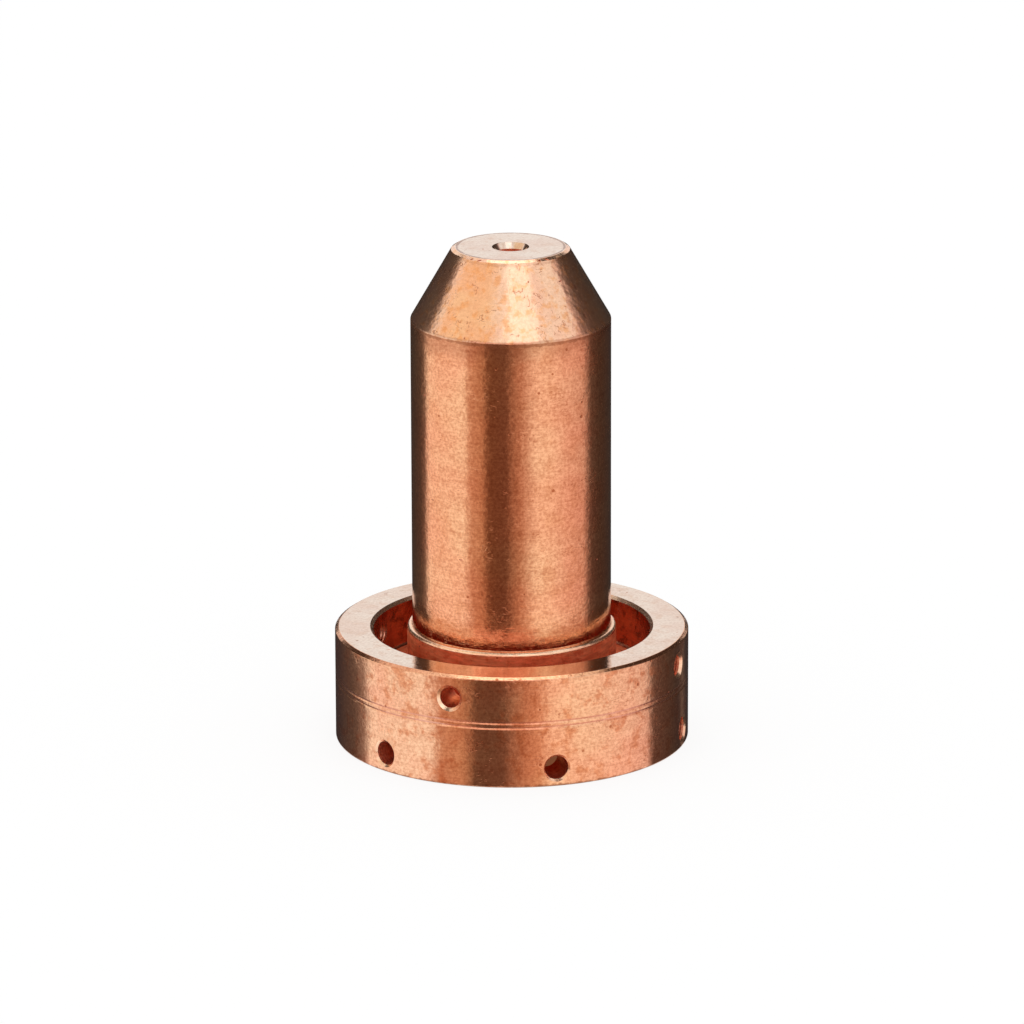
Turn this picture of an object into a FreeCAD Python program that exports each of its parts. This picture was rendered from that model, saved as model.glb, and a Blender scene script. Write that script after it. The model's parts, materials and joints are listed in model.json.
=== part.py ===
"""Plasma cutting nozzle turned and drilled from one piece of copper.

Millimetres and degrees. The origin is the centre of the rear face, on the axis.
+Z runs along the axis to the tip. Azimuths are counted from -Y towards +X.
"""

import FreeCAD, Part

import math
import os

import Sketcher

SHEET_NAME = "Sizes"
NODE_NAME = "nozzle_body"
PARTS_FOLDER = "parts"
EDGE_MATCH = 1e-4

# Driving sizes
SIZES = (
    ("overall_height", 25.35, "rear face to tip face"),
    ("tip_face_diameter", 5.8, "sharp corner of the tip face, before its edge is rounded"),
    ("cone_half_angle", 30.0, "slope of the nose, from the axis"),
    ("barrel_diameter", 10.0, "outside of the barrel"),
    ("root_ledge_width", 0.26, "step out from the barrel at its root"),
    ("root_ledge_rise", 0.13, "ledge above the front face of the flange"),
    ("groove_width", 1.71, "front groove, measured radially"),
    ("groove_depth", 2.4, "front face of the flange to the groove floor"),
    ("rim_width", 1.93, "wall between the groove and the outside of the flange"),
    ("web_thickness", 1.4, "metal between the groove floor and the rear recess"),
    ("recess_depth", 1.9, "rear seat for the swirl cartridge"),
    ("skirt_width", 2.15, "ring around the rear recess that the nozzle stands on"),
    ("chamber_diameter", 7.2, "bore that the electrode stands in"),
    ("chamber_end_half_angle", 45.0, "funnel from the bore down to the orifice"),
    ("nose_thickness", 2.65, "throat of the funnel to the tip face"),
    ("orifice_diameter", 1.5, "hole that the arc leaves by"),
    ("orifice_mouth_diameter", 1.85, "countersink of the orifice at the tip face"),
    ("orifice_mouth_angle", 60.0, "included angle of that countersink"),
    ("upper_hole_diameter", 1.06, "gas holes into the front groove"),
    ("upper_hole_mouth", 1.36, "countersink of the upper holes"),
    ("upper_hole_count", 4, "upper holes round the flange"),
    ("upper_hole_azimuth", -20.4, "first upper hole"),
    ("lower_hole_diameter", 1.2, "gas holes out of the rear recess"),
    ("lower_hole_mouth", 1.42, "countersink of the lower holes"),
    ("lower_hole_count", 6, "lower holes round the flange"),
    ("lower_hole_azimuth", -45.5, "first lower hole"),
    ("hole_mouth_half_angle", 45.0, "slope of the small countersinks"),
    ("turned_line_height", 3.1, "fine line where two turning passes meet"),
    ("turned_line_width", 0.18, "width of that line at the surface"),
    ("turned_line_depth", 0.04, "depth of that line"),
    ("tip_edge_round", 0.3, "edge of the tip face"),
    ("shoulder_round", 0.12, "edge between the nose and the barrel"),
    ("ledge_chamfer", 0.1, "edge of the root ledge"),
    ("groove_rim_chamfer", 0.16, "inner edge of the flange's front face"),
    ("groove_floor_chamfer", 0.15, "both corners of the groove floor"),
    ("flange_front_round", 0.2, "outer edge of the flange's front face"),
    ("flange_rear_chamfer", 0.1, "outer edge of the rear face"),
    ("recess_chamfer", 0.2, "lead-in of the rear recess"),
    ("chamber_chamfer", 0.3, "lead-in of the electrode bore"),
    ("cutter_overrun", 0.6, "how far a cutter starts outside the metal"),
)

# Places worked out from the driving sizes
BARREL_RADIUS = f"{SHEET_NAME}.barrel_diameter / 2"
LEDGE_RADIUS = f"{BARREL_RADIUS} + {SHEET_NAME}.root_ledge_width"
GROOVE_RADIUS = f"{LEDGE_RADIUS} + {SHEET_NAME}.groove_width"
FLANGE_RADIUS = f"{GROOVE_RADIUS} + {SHEET_NAME}.rim_width"
RECESS_RADIUS = f"{FLANGE_RADIUS} - {SHEET_NAME}.skirt_width"
CHAMBER_RADIUS = f"{SHEET_NAME}.chamber_diameter / 2"
TIP_RADIUS = f"{SHEET_NAME}.tip_face_diameter / 2"
ORIFICE_RADIUS = f"{SHEET_NAME}.orifice_diameter / 2"

RECESS_CEILING = f"{SHEET_NAME}.recess_depth"
GROOVE_FLOOR = f"{RECESS_CEILING} + {SHEET_NAME}.web_thickness"
FLANGE_TOP = f"{GROOVE_FLOOR} + {SHEET_NAME}.groove_depth"
LEDGE_TOP = f"{FLANGE_TOP} + {SHEET_NAME}.root_ledge_rise"
TIP_HEIGHT = f"{SHEET_NAME}.overall_height"
NOSE_LENGTH = f"({BARREL_RADIUS} - {TIP_RADIUS}) / tan({SHEET_NAME}.cone_half_angle)"
SHOULDER_HEIGHT = f"{TIP_HEIGHT} - {NOSE_LENGTH}"
FUNNEL_LENGTH = f"({CHAMBER_RADIUS} - {ORIFICE_RADIUS}) / tan({SHEET_NAME}.chamber_end_half_angle)"
CHAMBER_DEPTH = f"{TIP_HEIGHT} - {SHEET_NAME}.nose_thickness - {FUNNEL_LENGTH}"
AXIS = "0"
REAR_FACE = "0"


def make_sheet(document):
    """Put every driving size into a sheet, one row each, with its name as the alias."""
    sheet = document.addObject("Spreadsheet::Sheet", SHEET_NAME)
    for row, (name, value, meaning) in enumerate(SIZES, start=1):
        sheet.set(f"A{row}", name)
        sheet.set(f"B{row}", str(value))
        sheet.set(f"C{row}", meaning)
        sheet.setAlias(f"B{row}", name)
    document.recompute()
    return sheet


def origin_feature(body, role):
    """Return the body's own origin plane or axis with this role."""
    for feature in body.Origin.OriginFeatures:
        if feature.Role == role:
            return feature
    raise LookupError(role)


def make_sketch(body, name, plane_role, height=None, turn=None):
    """Attach a sketch to one of the body's origin planes, lifted and turned about its normal."""
    sketch = body.newObject("Sketcher::SketchObject", name)
    sketch.AttachmentSupport = [(origin_feature(body, plane_role), "")]
    sketch.MapMode = "FlatFace"
    if height is not None:
        sketch.setExpression("AttachmentOffset.Base.z", height)
    if turn is not None:
        sketch.AttachmentOffset = FreeCAD.Placement(
            FreeCAD.Vector(0, 0, 0), FreeCAD.Rotation(FreeCAD.Vector(0, 0, 1), 1)
        )
        sketch.setExpression("AttachmentOffset.Rotation.Angle", turn)
    return sketch


def bind_coordinate(sketch, line, axis_word, axis_line, expression):
    """Hold one coordinate of a line's first point, on the axis or at a bound distance."""
    if expression == "0":
        sketch.addConstraint(Sketcher.Constraint("PointOnObject", line, 1, axis_line))
        return
    value = float(sketch.evalExpression(expression))
    index = sketch.addConstraint(Sketcher.Constraint(f"Distance{axis_word}", -1, 1, line, 1, value))
    sketch.setExpression(f"Constraints[{index}]", expression)


def draw_profile(sketch, points):
    """Draw a closed outline through points given as pairs of expressions (across, along).

    Two neighbours that share a coordinate are tied by an upright or level line, so each size
    is held once.
    """
    places = [
        FreeCAD.Vector(float(sketch.evalExpression(across)), float(sketch.evalExpression(along)), 0)
        for across, along in points
    ]
    count = len(points)
    for i in range(count):
        sketch.addGeometry(Part.LineSegment(places[i], places[(i + 1) % count]), False)
    for i in range(count):
        sketch.addConstraint(Sketcher.Constraint("Coincident", i, 2, (i + 1) % count, 1))
    for i, (across, along) in enumerate(points):
        before_across, before_along = points[i - 1]
        if i > 0 and across == before_across and across != "0":
            sketch.addConstraint(Sketcher.Constraint("Vertical", i - 1))
        else:
            bind_coordinate(sketch, i, "X", -2, across)
        if i > 0 and along == before_along and along != "0":
            sketch.addConstraint(Sketcher.Constraint("Horizontal", i - 1))
        else:
            bind_coordinate(sketch, i, "Y", -1, along)


def draw_circle(sketch, diameter):
    """Draw a circle round the sketch's origin with a bound diameter."""
    radius = float(sketch.evalExpression(diameter)) / 2
    centre = FreeCAD.Vector(0, 0, 0)
    normal = FreeCAD.Vector(0, 0, 1)
    circle = sketch.addGeometry(Part.Circle(centre, normal, radius), False)
    sketch.addConstraint(Sketcher.Constraint("Coincident", circle, 3, -1, 1))
    index = sketch.addConstraint(Sketcher.Constraint("Diameter", circle, 2 * radius))
    sketch.setExpression(f"Constraints[{index}]", diameter)


def expect_cut(body, feature, volume_before):
    """Recompute and stop if the feature took no metal away."""
    body.Document.recompute()
    if not feature.Shape.Volume < volume_before - 1e-6:
        raise RuntimeError(f"{feature.Name} cuts nothing")


def revolve_blank(body):
    """Turn the outside: flange, root ledge, barrel and nose."""
    sketch = make_sketch(body, "BlankOutline", "XZ_Plane")
    outline = (
        (AXIS, REAR_FACE),
        (FLANGE_RADIUS, REAR_FACE),
        (FLANGE_RADIUS, FLANGE_TOP),
        (LEDGE_RADIUS, FLANGE_TOP),
        (LEDGE_RADIUS, LEDGE_TOP),
        (BARREL_RADIUS, LEDGE_TOP),
        (BARREL_RADIUS, SHOULDER_HEIGHT),
        (TIP_RADIUS, TIP_HEIGHT),
        (AXIS, TIP_HEIGHT),
    )
    draw_profile(sketch, outline)
    blank = body.newObject("PartDesign::Revolution", "Blank")
    blank.Profile = sketch
    blank.ReferenceAxis = (origin_feature(body, "Z_Axis"), [""])
    blank.Angle = 360
    body.Document.recompute()
    return blank


def groove_about(body, name, sketch, reference_axis):
    """Cut a sketch's profile away by turning it once round an axis."""
    volume_before = body.Shape.Volume
    groove = body.newObject("PartDesign::Groove", name)
    groove.Profile = sketch
    groove.ReferenceAxis = reference_axis
    groove.Angle = 360
    expect_cut(body, groove, volume_before)
    return groove


def cut_front_groove(body):
    """Turn the annular groove between the root ledge and the rim."""
    sketch = make_sketch(body, "FrontGrooveSection", "XZ_Plane")
    above_metal = f"{LEDGE_TOP} + {SHEET_NAME}.cutter_overrun"
    section = (
        (LEDGE_RADIUS, GROOVE_FLOOR),
        (GROOVE_RADIUS, GROOVE_FLOOR),
        (GROOVE_RADIUS, above_metal),
        (LEDGE_RADIUS, above_metal),
    )
    draw_profile(sketch, section)
    return groove_about(body, "FrontGroove", sketch, (origin_feature(body, "Z_Axis"), [""]))


def cut_turned_line(body):
    """Scribe the fine line round the flange as a shallow V."""
    sketch = make_sketch(body, "TurnedLineSection", "XZ_Plane")
    line_height = f"{SHEET_NAME}.turned_line_height"
    line_depth = f"{SHEET_NAME}.turned_line_depth"
    outside = f"{FLANGE_RADIUS} + {line_depth}"
    section = (
        (f"{FLANGE_RADIUS} - {line_depth}", line_height),
        (outside, f"{line_height} - {SHEET_NAME}.turned_line_width"),
        (outside, f"{line_height} + {SHEET_NAME}.turned_line_width"),
    )
    draw_profile(sketch, section)
    return groove_about(body, "TurnedLine", sketch, (origin_feature(body, "Z_Axis"), [""]))


def cut_rear_recess(body):
    """Bore the shallow seat in the rear face."""
    sketch = make_sketch(body, "RearRecessCircle", "XY_Plane")
    draw_circle(sketch, f"2 * ({RECESS_RADIUS})")
    volume_before = body.Shape.Volume
    recess = body.newObject("PartDesign::Pocket", "RearRecess")
    recess.Profile = sketch
    recess.Type = "Length"
    recess.Reversed = True
    recess.setExpression("Length", RECESS_CEILING)
    expect_cut(body, recess, volume_before)
    return recess


def drill_chamber(body):
    """Drill the electrode bore from the rear, with a funnel at its end."""
    sketch = make_sketch(body, "ChamberCircle", "XY_Plane")
    draw_circle(sketch, f"{SHEET_NAME}.chamber_diameter")
    body.Document.recompute()
    volume_before = body.Shape.Volume
    chamber = body.newObject("PartDesign::Hole", "Chamber")
    chamber.Profile = sketch
    body.Document.recompute()
    chamber.Reversed = True
    chamber.DepthType = "Dimension"
    chamber.DrillPoint = "Angled"
    chamber.DrillForDepth = False
    chamber.setExpression("Diameter", f"{SHEET_NAME}.chamber_diameter")
    chamber.setExpression("Depth", CHAMBER_DEPTH)
    chamber.setExpression("DrillPointAngle", f"2 * {SHEET_NAME}.chamber_end_half_angle")
    expect_cut(body, chamber, volume_before)
    return chamber


def drill_orifice(body):
    """Drill the orifice from the tip face, with its countersink."""
    sketch = make_sketch(body, "OrificeCircle", "XY_Plane", height=TIP_HEIGHT)
    draw_circle(sketch, f"{SHEET_NAME}.orifice_diameter")
    body.Document.recompute()
    volume_before = body.Shape.Volume
    orifice = body.newObject("PartDesign::Hole", "Orifice")
    orifice.Profile = sketch
    body.Document.recompute()
    orifice.DepthType = "ThroughAll"
    orifice.HoleCutType = "Countersink"
    orifice.setExpression("Diameter", f"{SHEET_NAME}.orifice_diameter")
    orifice.setExpression("HoleCutDiameter", f"{SHEET_NAME}.orifice_mouth_diameter")
    orifice.setExpression("HoleCutCountersinkAngle", f"{SHEET_NAME}.orifice_mouth_angle")
    expect_cut(body, orifice, volume_before)
    return orifice


def circle_edge(shape, radius, height):
    """Name the circular edge about the axis that has this radius and height."""
    for number, edge in enumerate(shape.Edges, start=1):
        if not isinstance(edge.Curve, Part.Circle):
            continue
        centre = edge.Curve.Center
        off_axis = math.hypot(centre.x, centre.y)
        same_place = abs(centre.z - height) < EDGE_MATCH and off_axis < EDGE_MATCH
        if same_place and abs(edge.Curve.Radius - radius) < EDGE_MATCH:
            return f"Edge{number}"
    raise LookupError(f"no edge of radius {radius} at height {height}")


def break_edges(body, sheet, kind, name, size_property, size, places):
    """Round or chamfer the edges at these radii and heights, all given as expressions."""
    base = body.Tip
    edges = [
        circle_edge(base.Shape, float(sheet.evalExpression(radius)), float(sheet.evalExpression(height)))
        for radius, height in places
    ]
    dressing = body.newObject(f"PartDesign::{kind}", name)
    dressing.Base = (base, edges)
    dressing.setExpression(size_property, size)
    body.Document.recompute()
    return dressing


def round_edges(body, sheet):
    """Break every edge that the lathe leaves, each with its own size."""
    rounds = (
        ("TipEdgeRound", f"{SHEET_NAME}.tip_edge_round", [(TIP_RADIUS, TIP_HEIGHT)]),
        ("ShoulderRound", f"{SHEET_NAME}.shoulder_round", [(BARREL_RADIUS, SHOULDER_HEIGHT)]),
        ("FlangeFrontRound", f"{SHEET_NAME}.flange_front_round", [(FLANGE_RADIUS, FLANGE_TOP)]),
    )
    for name, size, places in rounds:
        break_edges(body, sheet, "Fillet", name, "Radius", size, places)
    ledge = f"min({SHEET_NAME}.ledge_chamfer; 0.8 * {SHEET_NAME}.root_ledge_width)"
    groove_corners = [(LEDGE_RADIUS, GROOVE_FLOOR), (GROOVE_RADIUS, GROOVE_FLOOR)]
    chamfers = (
        ("LedgeChamfer", ledge, [(LEDGE_RADIUS, LEDGE_TOP)]),
        ("GrooveRimChamfer", f"{SHEET_NAME}.groove_rim_chamfer", [(GROOVE_RADIUS, FLANGE_TOP)]),
        ("GrooveFloorChamfer", f"{SHEET_NAME}.groove_floor_chamfer", groove_corners),
        ("FlangeRearChamfer", f"{SHEET_NAME}.flange_rear_chamfer", [(FLANGE_RADIUS, REAR_FACE)]),
        ("RecessChamfer", f"{SHEET_NAME}.recess_chamfer", [(RECESS_RADIUS, REAR_FACE)]),
        ("ChamberChamfer", f"{SHEET_NAME}.chamber_chamfer", [(CHAMBER_RADIUS, RECESS_CEILING)]),
    )
    for name, size, places in chamfers:
        break_edges(body, sheet, "Chamfer", name, "Size", size, places)


def drill_row(body, row, start_radius, height):
    """Drill one countersunk radial hole through the flange wall and repeat it round the axis.

    The half section lies in a level sketch whose second axis points out along the hole.
    """
    half_angle = f"{SHEET_NAME}.hole_mouth_half_angle"
    overrun = f"{SHEET_NAME}.cutter_overrun"
    bore = f"{SHEET_NAME}.{row}_hole_diameter / 2"
    mouth = f"{SHEET_NAME}.{row}_hole_mouth / 2"
    section = (
        (AXIS, start_radius),
        (bore, start_radius),
        (bore, f"{FLANGE_RADIUS} - ({mouth} - {bore}) / tan({half_angle})"),
        (f"{mouth} + {overrun} * tan({half_angle})", f"{FLANGE_RADIUS} + {overrun}"),
        (AXIS, f"{FLANGE_RADIUS} + {overrun}"),
    )
    title = row.capitalize()
    turn = f"{SHEET_NAME}.{row}_hole_azimuth + 180"
    sketch = make_sketch(body, f"{title}HoleSection", "XY_Plane", height=height, turn=turn)
    body.Document.recompute()
    draw_profile(sketch, section)
    hole = groove_about(body, f"{title}Hole", sketch, (sketch, ["V_Axis"]))
    volume_before = hole.Shape.Volume
    pattern = body.newObject("PartDesign::PolarPattern", f"{title}HoleRow")
    pattern.Originals = [hole]
    pattern.Axis = (origin_feature(body, "Z_Axis"), [""])
    pattern.Angle = 360
    pattern.setExpression("Occurrences", f"{SHEET_NAME}.{row}_hole_count")
    body.Tip = pattern
    expect_cut(body, pattern, volume_before)
    return pattern


def build_nozzle(document, sheet):
    """Make the nozzle in the order it is machined: outside, bores, edges, gas holes."""
    body = document.addObject("PartDesign::Body", NODE_NAME)
    body.Label = NODE_NAME
    body.Placement = FreeCAD.Placement()
    revolve_blank(body)
    cut_front_groove(body)
    cut_rear_recess(body)
    drill_chamber(body)
    drill_orifice(body)
    cut_turned_line(body)
    round_edges(body, sheet)
    in_groove = f"{LEDGE_RADIUS} + {SHEET_NAME}.groove_width / 2"
    in_recess = f"({CHAMBER_RADIUS} + {RECESS_RADIUS}) / 2"
    drill_row(body, "upper", in_groove, f"{GROOVE_FLOOR} + {SHEET_NAME}.groove_depth / 2")
    drill_row(body, "lower", in_recess, f"{RECESS_CEILING} / 2")
    return body


def check_document(document):
    """Stop if any object failed to build."""
    for item in document.Objects:
        failed = [state for state in item.State if state in ("Invalid", "Error")]
        if failed:
            raise RuntimeError(f"{item.Name}: {failed}")


def check_solid(body):
    """Stop unless the body is one valid solid."""
    shape = body.Shape
    if shape.isNull() or not shape.isValid() or len(shape.Solids) != 1:
        raise RuntimeError(f"{body.Label} is not one valid solid")


def main():
    """Build the document, check it and write the part."""
    document = FreeCAD.newDocument("Nozzle")
    sheet = make_sheet(document)
    body = build_nozzle(document, sheet)
    document.recompute()
    check_document(document)
    check_solid(body)
    os.makedirs(PARTS_FOLDER, exist_ok=True)
    body.Shape.exportStep(os.path.join(PARTS_FOLDER, f"{body.Label}.step"))
    box = body.Shape.optimalBoundingBox(False, False)
    print(f"{body.Label}: {body.Shape.Volume:.3f} mm3, {len(body.Shape.Faces)} faces")
    print(f"size {box.XLength:.3f} x {box.YLength:.3f} x {box.ZLength:.3f}")


main()
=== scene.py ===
"""Dresses the plasma torch nozzle in machined copper and stands it on a pale studio floor.

Lengths are metres. The nozzle stands on its rear face with its axis up Z, as in the frame.
Azimuths are counted from -Y, where the camera stands, towards +X.
"""

import json
import logging
import math
from dataclasses import dataclass, replace
from enum import Enum, IntEnum

import bpy
from mathutils import Matrix, Vector


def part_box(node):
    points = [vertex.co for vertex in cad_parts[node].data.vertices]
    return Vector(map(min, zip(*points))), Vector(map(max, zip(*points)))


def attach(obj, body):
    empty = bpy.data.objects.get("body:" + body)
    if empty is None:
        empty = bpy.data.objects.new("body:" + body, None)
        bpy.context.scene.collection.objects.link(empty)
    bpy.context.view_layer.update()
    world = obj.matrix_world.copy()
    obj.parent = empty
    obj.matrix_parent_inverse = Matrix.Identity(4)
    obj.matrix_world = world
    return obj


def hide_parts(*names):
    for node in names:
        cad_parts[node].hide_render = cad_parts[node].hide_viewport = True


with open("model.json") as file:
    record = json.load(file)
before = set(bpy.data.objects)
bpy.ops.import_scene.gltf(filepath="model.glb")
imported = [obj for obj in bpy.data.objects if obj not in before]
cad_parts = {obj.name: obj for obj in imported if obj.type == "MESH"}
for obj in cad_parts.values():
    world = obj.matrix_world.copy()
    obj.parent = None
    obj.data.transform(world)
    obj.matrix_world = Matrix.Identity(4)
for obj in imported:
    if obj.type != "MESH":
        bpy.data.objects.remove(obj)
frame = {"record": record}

MM = 0.001
NODE = "nozzle_body"
BODY = "root"
PICTURE_SIDE = 1024

Colour = tuple[float, float, float]
Place = tuple[float, float, float]
Limits = tuple[float, float]
Feed = bpy.types.NodeSocket | float | int | bool | str | tuple

WHITE: Colour = (1.0, 1.0, 1.0)

log = logging.getLogger("nozzle")


class Cut(IntEnum):
    """How a surface was cut, which decides its finish."""

    FACED = 0
    TURNED = 1
    NOSE = 2
    BORED = 3
    BROKEN_EDGE = 4
    SCRIBED = 5
    ROUGHED = 6
    DRILLED = 7
    HANDLED = 8
    RECESS_FLOOR = 9


class Lay(IntEnum):
    """Which way the tool marks are spaced: along the axis, or out from it."""

    ALONG_AXIS = 0
    OUT_FROM_AXIS = 1


class TurnedLine(IntEnum):
    """Which fine line round the flange a corner belongs to, so that it wanders with it."""

    NONE = 0
    MAIN = 1
    SECOND = 2


class TreeKind(Enum):
    """What a node group works on."""

    GEOMETRY = "GeometryNodeTree"
    SHADER = "ShaderNodeTree"


# Node trees, materials and meshes


class NodeSheet:
    """A node tree with short ways to add its nodes and wire them."""

    def __init__(self, tree: bpy.types.NodeTree) -> None:
        """Hold the tree.

        Args:
            tree: an empty node tree.
        """
        self.tree = tree
        self.source: bpy.types.Node | None = None

    @classmethod
    def group(cls, name: str, kind: TreeKind) -> "NodeSheet":
        """Make a node group.

        Args:
            name: the group's name.
            kind: what the group works on.

        Returns:
            The sheet of the new group.
        """
        sheet = cls(bpy.data.node_groups.new(name, kind.value))
        sheet.source = sheet.tree.nodes.new("NodeGroupInput")
        return sheet

    def take(self, name: str, kind: str, default: Feed | None = None) -> bpy.types.NodeSocket:
        """Add a named input to the group.

        Args:
            name: the input's name.
            kind: the last part of the socket's type, such as Float.
            default: its value where nothing is given.

        Returns:
            The socket inside the group that carries the input.
        """
        item = self.tree.interface.new_socket(
            name=name, in_out="INPUT", socket_type=f"NodeSocket{kind}"
        )
        if default is not None:
            item.default_value = default
        return self.source.outputs[name]

    def give(self, **results: bpy.types.NodeSocket) -> None:
        """Add the group's outputs and wire them.

        Args:
            **results: what each output carries, by the output's name.
        """
        kinds = {"VALUE": "Float", "RGBA": "Color", "VECTOR": "Vector", "GEOMETRY": "Geometry"}
        for name, socket in results.items():
            kind = f"NodeSocket{kinds[socket.type]}"
            self.tree.interface.new_socket(name=name, in_out="OUTPUT", socket_type=kind)
        sink = self.tree.nodes.new("NodeGroupOutput")
        for name, socket in results.items():
            self.feed(sink.inputs[name], socket)

    def feed(self, socket: bpy.types.NodeSocket, value: Feed) -> None:
        """Wire a socket to another, or set its value.

        Args:
            socket: the input that is fed.
            value: another socket, or a plain value.
        """
        if isinstance(value, bpy.types.NodeSocket):
            self.tree.links.new(value, socket)
        else:
            socket.default_value = value

    def add(
        self, kind: str, feeds: dict[str | int, Feed] | None = None, **settings: Feed
    ) -> bpy.types.Node:
        """Add a node.

        Args:
            kind: the node's type.
            feeds: what goes into its inputs, by name or number.
            **settings: the node's own options.

        Returns:
            The new node.
        """
        node = self.tree.nodes.new(kind)
        for name, value in settings.items():
            setattr(node, name, value)
        for key, value in (feeds or {}).items():
            self.feed(node.inputs[key], value)
        return node

    def math(self, operation: str, first: Feed, second: Feed = 0.0) -> bpy.types.NodeSocket:
        """Return the result of one operation on two numbers."""
        return self.add("ShaderNodeMath", {0: first, 1: second}, operation=operation).outputs[0]

    def whole(self, operation: str, first: Feed, second: Feed) -> bpy.types.NodeSocket:
        """Return the result of one operation on two whole numbers."""
        node = self.add("FunctionNodeIntegerMath", {0: first, 1: second}, operation=operation)
        return node.outputs[0]

    def vector(self, across: Feed, deep: Feed, up: Feed) -> bpy.types.NodeSocket:
        """Return the vector of three numbers."""
        return self.add("ShaderNodeCombineXYZ", {"X": across, "Y": deep, "Z": up}).outputs[0]

    def split(self, vector: bpy.types.NodeSocket) -> tuple[bpy.types.NodeSocket, ...]:
        """Return the three numbers of a vector."""
        return tuple(self.add("ShaderNodeSeparateXYZ", {0: vector}).outputs)

    def length(self, across: Feed, deep: Feed) -> bpy.types.NodeSocket:
        """Return the length of a step with these two sides."""
        squares = [self.math("MULTIPLY", side, side) for side in (across, deep)]
        return self.math("SQRT", self.math("ADD", *squares))

    def blend(self, share: Feed, first: Feed, second: Feed) -> bpy.types.NodeSocket:
        """Return a number between two others."""
        return self.add("ShaderNodeMix", {0: share, 2: first, 3: second}).outputs[0]

    def tint(self, share: Feed, first: Feed, second: Feed) -> bpy.types.NodeSocket:
        """Return a colour between two others."""
        node = self.add("ShaderNodeMix", {0: share, 6: first, 7: second}, data_type="RGBA")
        return node.outputs[2]

    def step(
        self, value: Feed, low: float, high: float, start: Feed = 0.0, end: Feed = 1.0
    ) -> bpy.types.NodeSocket:
        """Return a smooth step of a value.

        Args:
            value: what is compared.
            low: where the step starts.
            high: where the step ends.
            start: the result below the step.
            end: the result above it.

        Returns:
            The stepped number.
        """
        feeds = {"Value": value, "From Min": low, "From Max": high, "To Min": start, "To Max": end}
        return self.add("ShaderNodeMapRange", feeds, interpolation_type="SMOOTHSTEP").outputs[0]

    def noise(
        self, vector: Feed, scale: Feed, detail: float = 2.0, roughness: float = 0.5
    ) -> bpy.types.NodeSocket:
        """Return noise between 0 and 1 at a place."""
        feeds = {"Vector": vector, "Scale": scale, "Detail": detail, "Roughness": roughness}
        return self.add("ShaderNodeTexNoise", feeds).outputs[0]


def rgba(colour: Colour) -> tuple[float, float, float, float]:
    """Return a colour with full alpha."""
    return (*colour, 1.0)


def new_material(name: str) -> tuple[bpy.types.Material, NodeSheet]:
    """Make a material with no nodes.

    Args:
        name: the material's name.

    Returns:
        The material, and the sheet of its tree.
    """
    material = bpy.data.materials.new(name)
    material.use_nodes = True
    material.node_tree.nodes.clear()
    return material, NodeSheet(material.node_tree)


def new_object(
    name: str, places: list[Place], faces: tuple[tuple[int, ...], ...] = ()
) -> bpy.types.Object:
    """Make a mesh object at the origin and link it to the scene.

    Args:
        name: the name of the object and of its mesh.
        places: the mesh's points.
        faces: its faces, each by the numbers of its points.

    Returns:
        The object.
    """
    mesh = bpy.data.meshes.new(name)
    mesh.from_pydata(places, [], faces)
    piece = bpy.data.objects.new(name, mesh)
    bpy.context.scene.collection.objects.link(piece)
    return piece


# Sizes and the turned outline


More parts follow.
